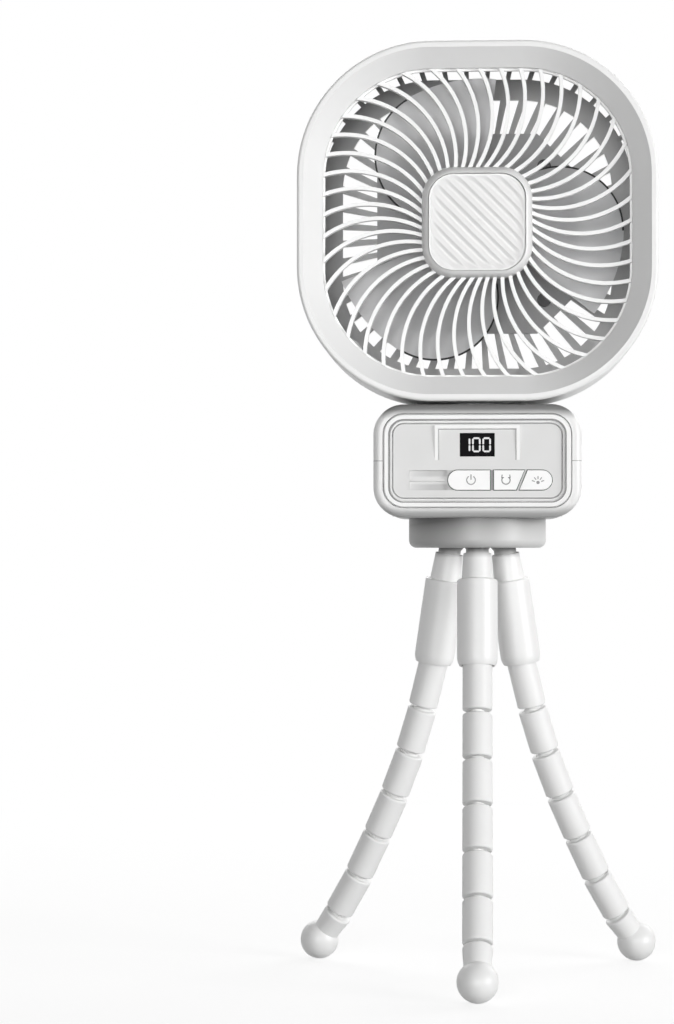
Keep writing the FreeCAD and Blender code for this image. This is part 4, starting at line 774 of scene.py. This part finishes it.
# The lamp in the middle of the grille shines through a frosted plate with slanting
# ripples, which die out towards its edge. A board with nine chips is behind it.
LENS_WHITE = (0.9, 0.9, 0.895)
LENS_CORNER = 9.0 * MM
LENS_STEPS = 150
RIPPLE_PITCH = 3.62 * MM
RIPPLE_DEPTH = 0.55 * MM
# shares of the way from the middle to the edge: where the ripples end, and how far they fade
RIPPLE_SHARE = 0.97
RIPPLE_FADE = 0.22

lens_low, lens_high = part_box("lamp_diffuser")
lens_half = (lens_high.x - lens_low.x) / 2

lens_form = bmesh.new()
bmesh.ops.create_grid(lens_form, x_segments=LENS_STEPS, y_segments=LENS_STEPS, size=lens_half)
for vert in lens_form.verts:
    # each square line round the middle of the grid gets round corners like the lens
    share = max(abs(vert.co.x), abs(vert.co.y)) / lens_half
    turn_at = share * (lens_half - LENS_CORNER)
    over_x, over_y = abs(vert.co.x) - turn_at, abs(vert.co.y) - turn_at
    if over_x > 0 and over_y > 0:
        angle = math.atan2(over_y, over_x)
        vert.co.x = math.copysign(turn_at + share * LENS_CORNER * math.cos(angle), vert.co.x)
        vert.co.y = math.copysign(turn_at + share * LENS_CORNER * math.sin(angle), vert.co.y)
    # between two sharp crests each ripple is a hollow
    across = (vert.co.x + vert.co.y) / math.sqrt(2) / RIPPLE_PITCH
    crest = (2 * (across % 1.0) - 1) ** 2
    fade = min(1.0, max(0.0, (RIPPLE_SHARE - share) / RIPPLE_FADE))
    vert.co.z = fade * (2 - fade) * RIPPLE_DEPTH * (crest - 1)
lens_rim = [edge for edge in lens_form.edges if edge.is_boundary]
lens_back = bmesh.ops.extrude_edge_only(lens_form, edges=lens_rim)
back_verts = [part for part in lens_back["geom"] if isinstance(part, bmesh.types.BMVert)]
bmesh.ops.translate(lens_form, vec=(0, 0, lens_low.y - lens_high.y), verts=back_verts)
back_rim = [edge for edge in lens_form.edges if edge.is_boundary]
bmesh.ops.holes_fill(lens_form, edges=back_rim, sides=0)
upright = facing_front(head_x, lens_low.y, head_z)
bmesh.ops.transform(lens_form, matrix=upright, verts=lens_form.verts)
bmesh.ops.recalc_face_normals(lens_form, faces=lens_form.faces)
lens_finish = moulded("lens_frosted", LENS_WHITE, roughness=0.3, grain=0.35 * MM, relief=0.004 * MM)
lens = new_piece("lamp_lens", lens_form, lens_finish, "head", smooth=True)
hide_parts("lamp_diffuser")
dress(board_finish, "lamp_board")

# The impeller is a frosted smoky moulding with three broad blades, pressed onto the steel
# shaft of its motor. What lies behind the blades shows through them, blurred.
BLADE_GREY = (0.8, 0.8, 0.805)
BLADE_HAZE = 0.5
BLADE_IOR = 1.3
BLADE_COUNT = 3
# the leading edge of each blade is an arc: its middle, radius and bearing, and half its line
BLADE_CENTRE = 29.8 * MM
BLADE_ROUND = 23.8 * MM
BLADE_BEARING = math.radians(-2)
BLADE_LINE = 0.65 * MM
# painted shade in a dark line along the leading edge of each blade
BLADE_EDGE_SHADE = grey(0.02)


def blade_edge_shade(finish, colour):
    """Painted shade: the dark line along the leading edge of each blade."""
    x, z = finish.place("X") - head_x, finish.place("Z") - head_z
    line = 0.0
    for number in range(BLADE_COUNT):
        bearing = BLADE_BEARING + number * 2 * math.pi / BLADE_COUNT
        along, up = math.cos(bearing), math.sin(bearing)
        off_x, off_z = x - BLADE_CENTRE * along, z - BLADE_CENTRE * up
        near_round = abs((off_x * off_x + off_z * off_z) ** 0.5 - BLADE_ROUND) < BLADE_LINE
        line = near_round * ((z * along - x * up) > 0.0) + line
    return finish.mix(line.at_most(1.0), colour, BLADE_EDGE_SHADE)


blade_finish = moulded(
    "blade_smoke", BLADE_GREY, roughness=0.34, grain=2.0 * MM, relief=0.004 * MM, tint=blade_edge_shade,
    more=(("Transmission Weight", BLADE_HAZE), ("IOR", BLADE_IOR)),
)
dress(blade_finish, "impeller")
dress(steel_finish, "motor_shaft", "shell_screws")
dress(can_finish, "motor")

# The rear guard is white, and painted grey inside as shade. The motor stands on a grey
# plate, held by four dark screws.
PLATE_GREY = (0.45, 0.45, 0.455)
SCREW_BLACK = grey(0.06)
# the depth behind the front of the head at which the guard is white again
PAST_SLOTS = 46.1 * MM


def rear_shade(finish, colour):
    """Painted shade: grey inside, up to the inner face of the rear wall and a little into its slots."""
    return finish.mix(inside_head(finish, 0.0, PAST_SLOTS), colour, INSIDE_SHADE)


dress(moulded("rear_white", WHITE, roughness=0.38, tint=rear_shade), "rear_shell")
dress(moulded("plate_grey", PLATE_GREY, roughness=0.45), "motor_plate")
dress(metal("screw_dark", SCREW_BLACK, roughness=0.4), "motor_screws")
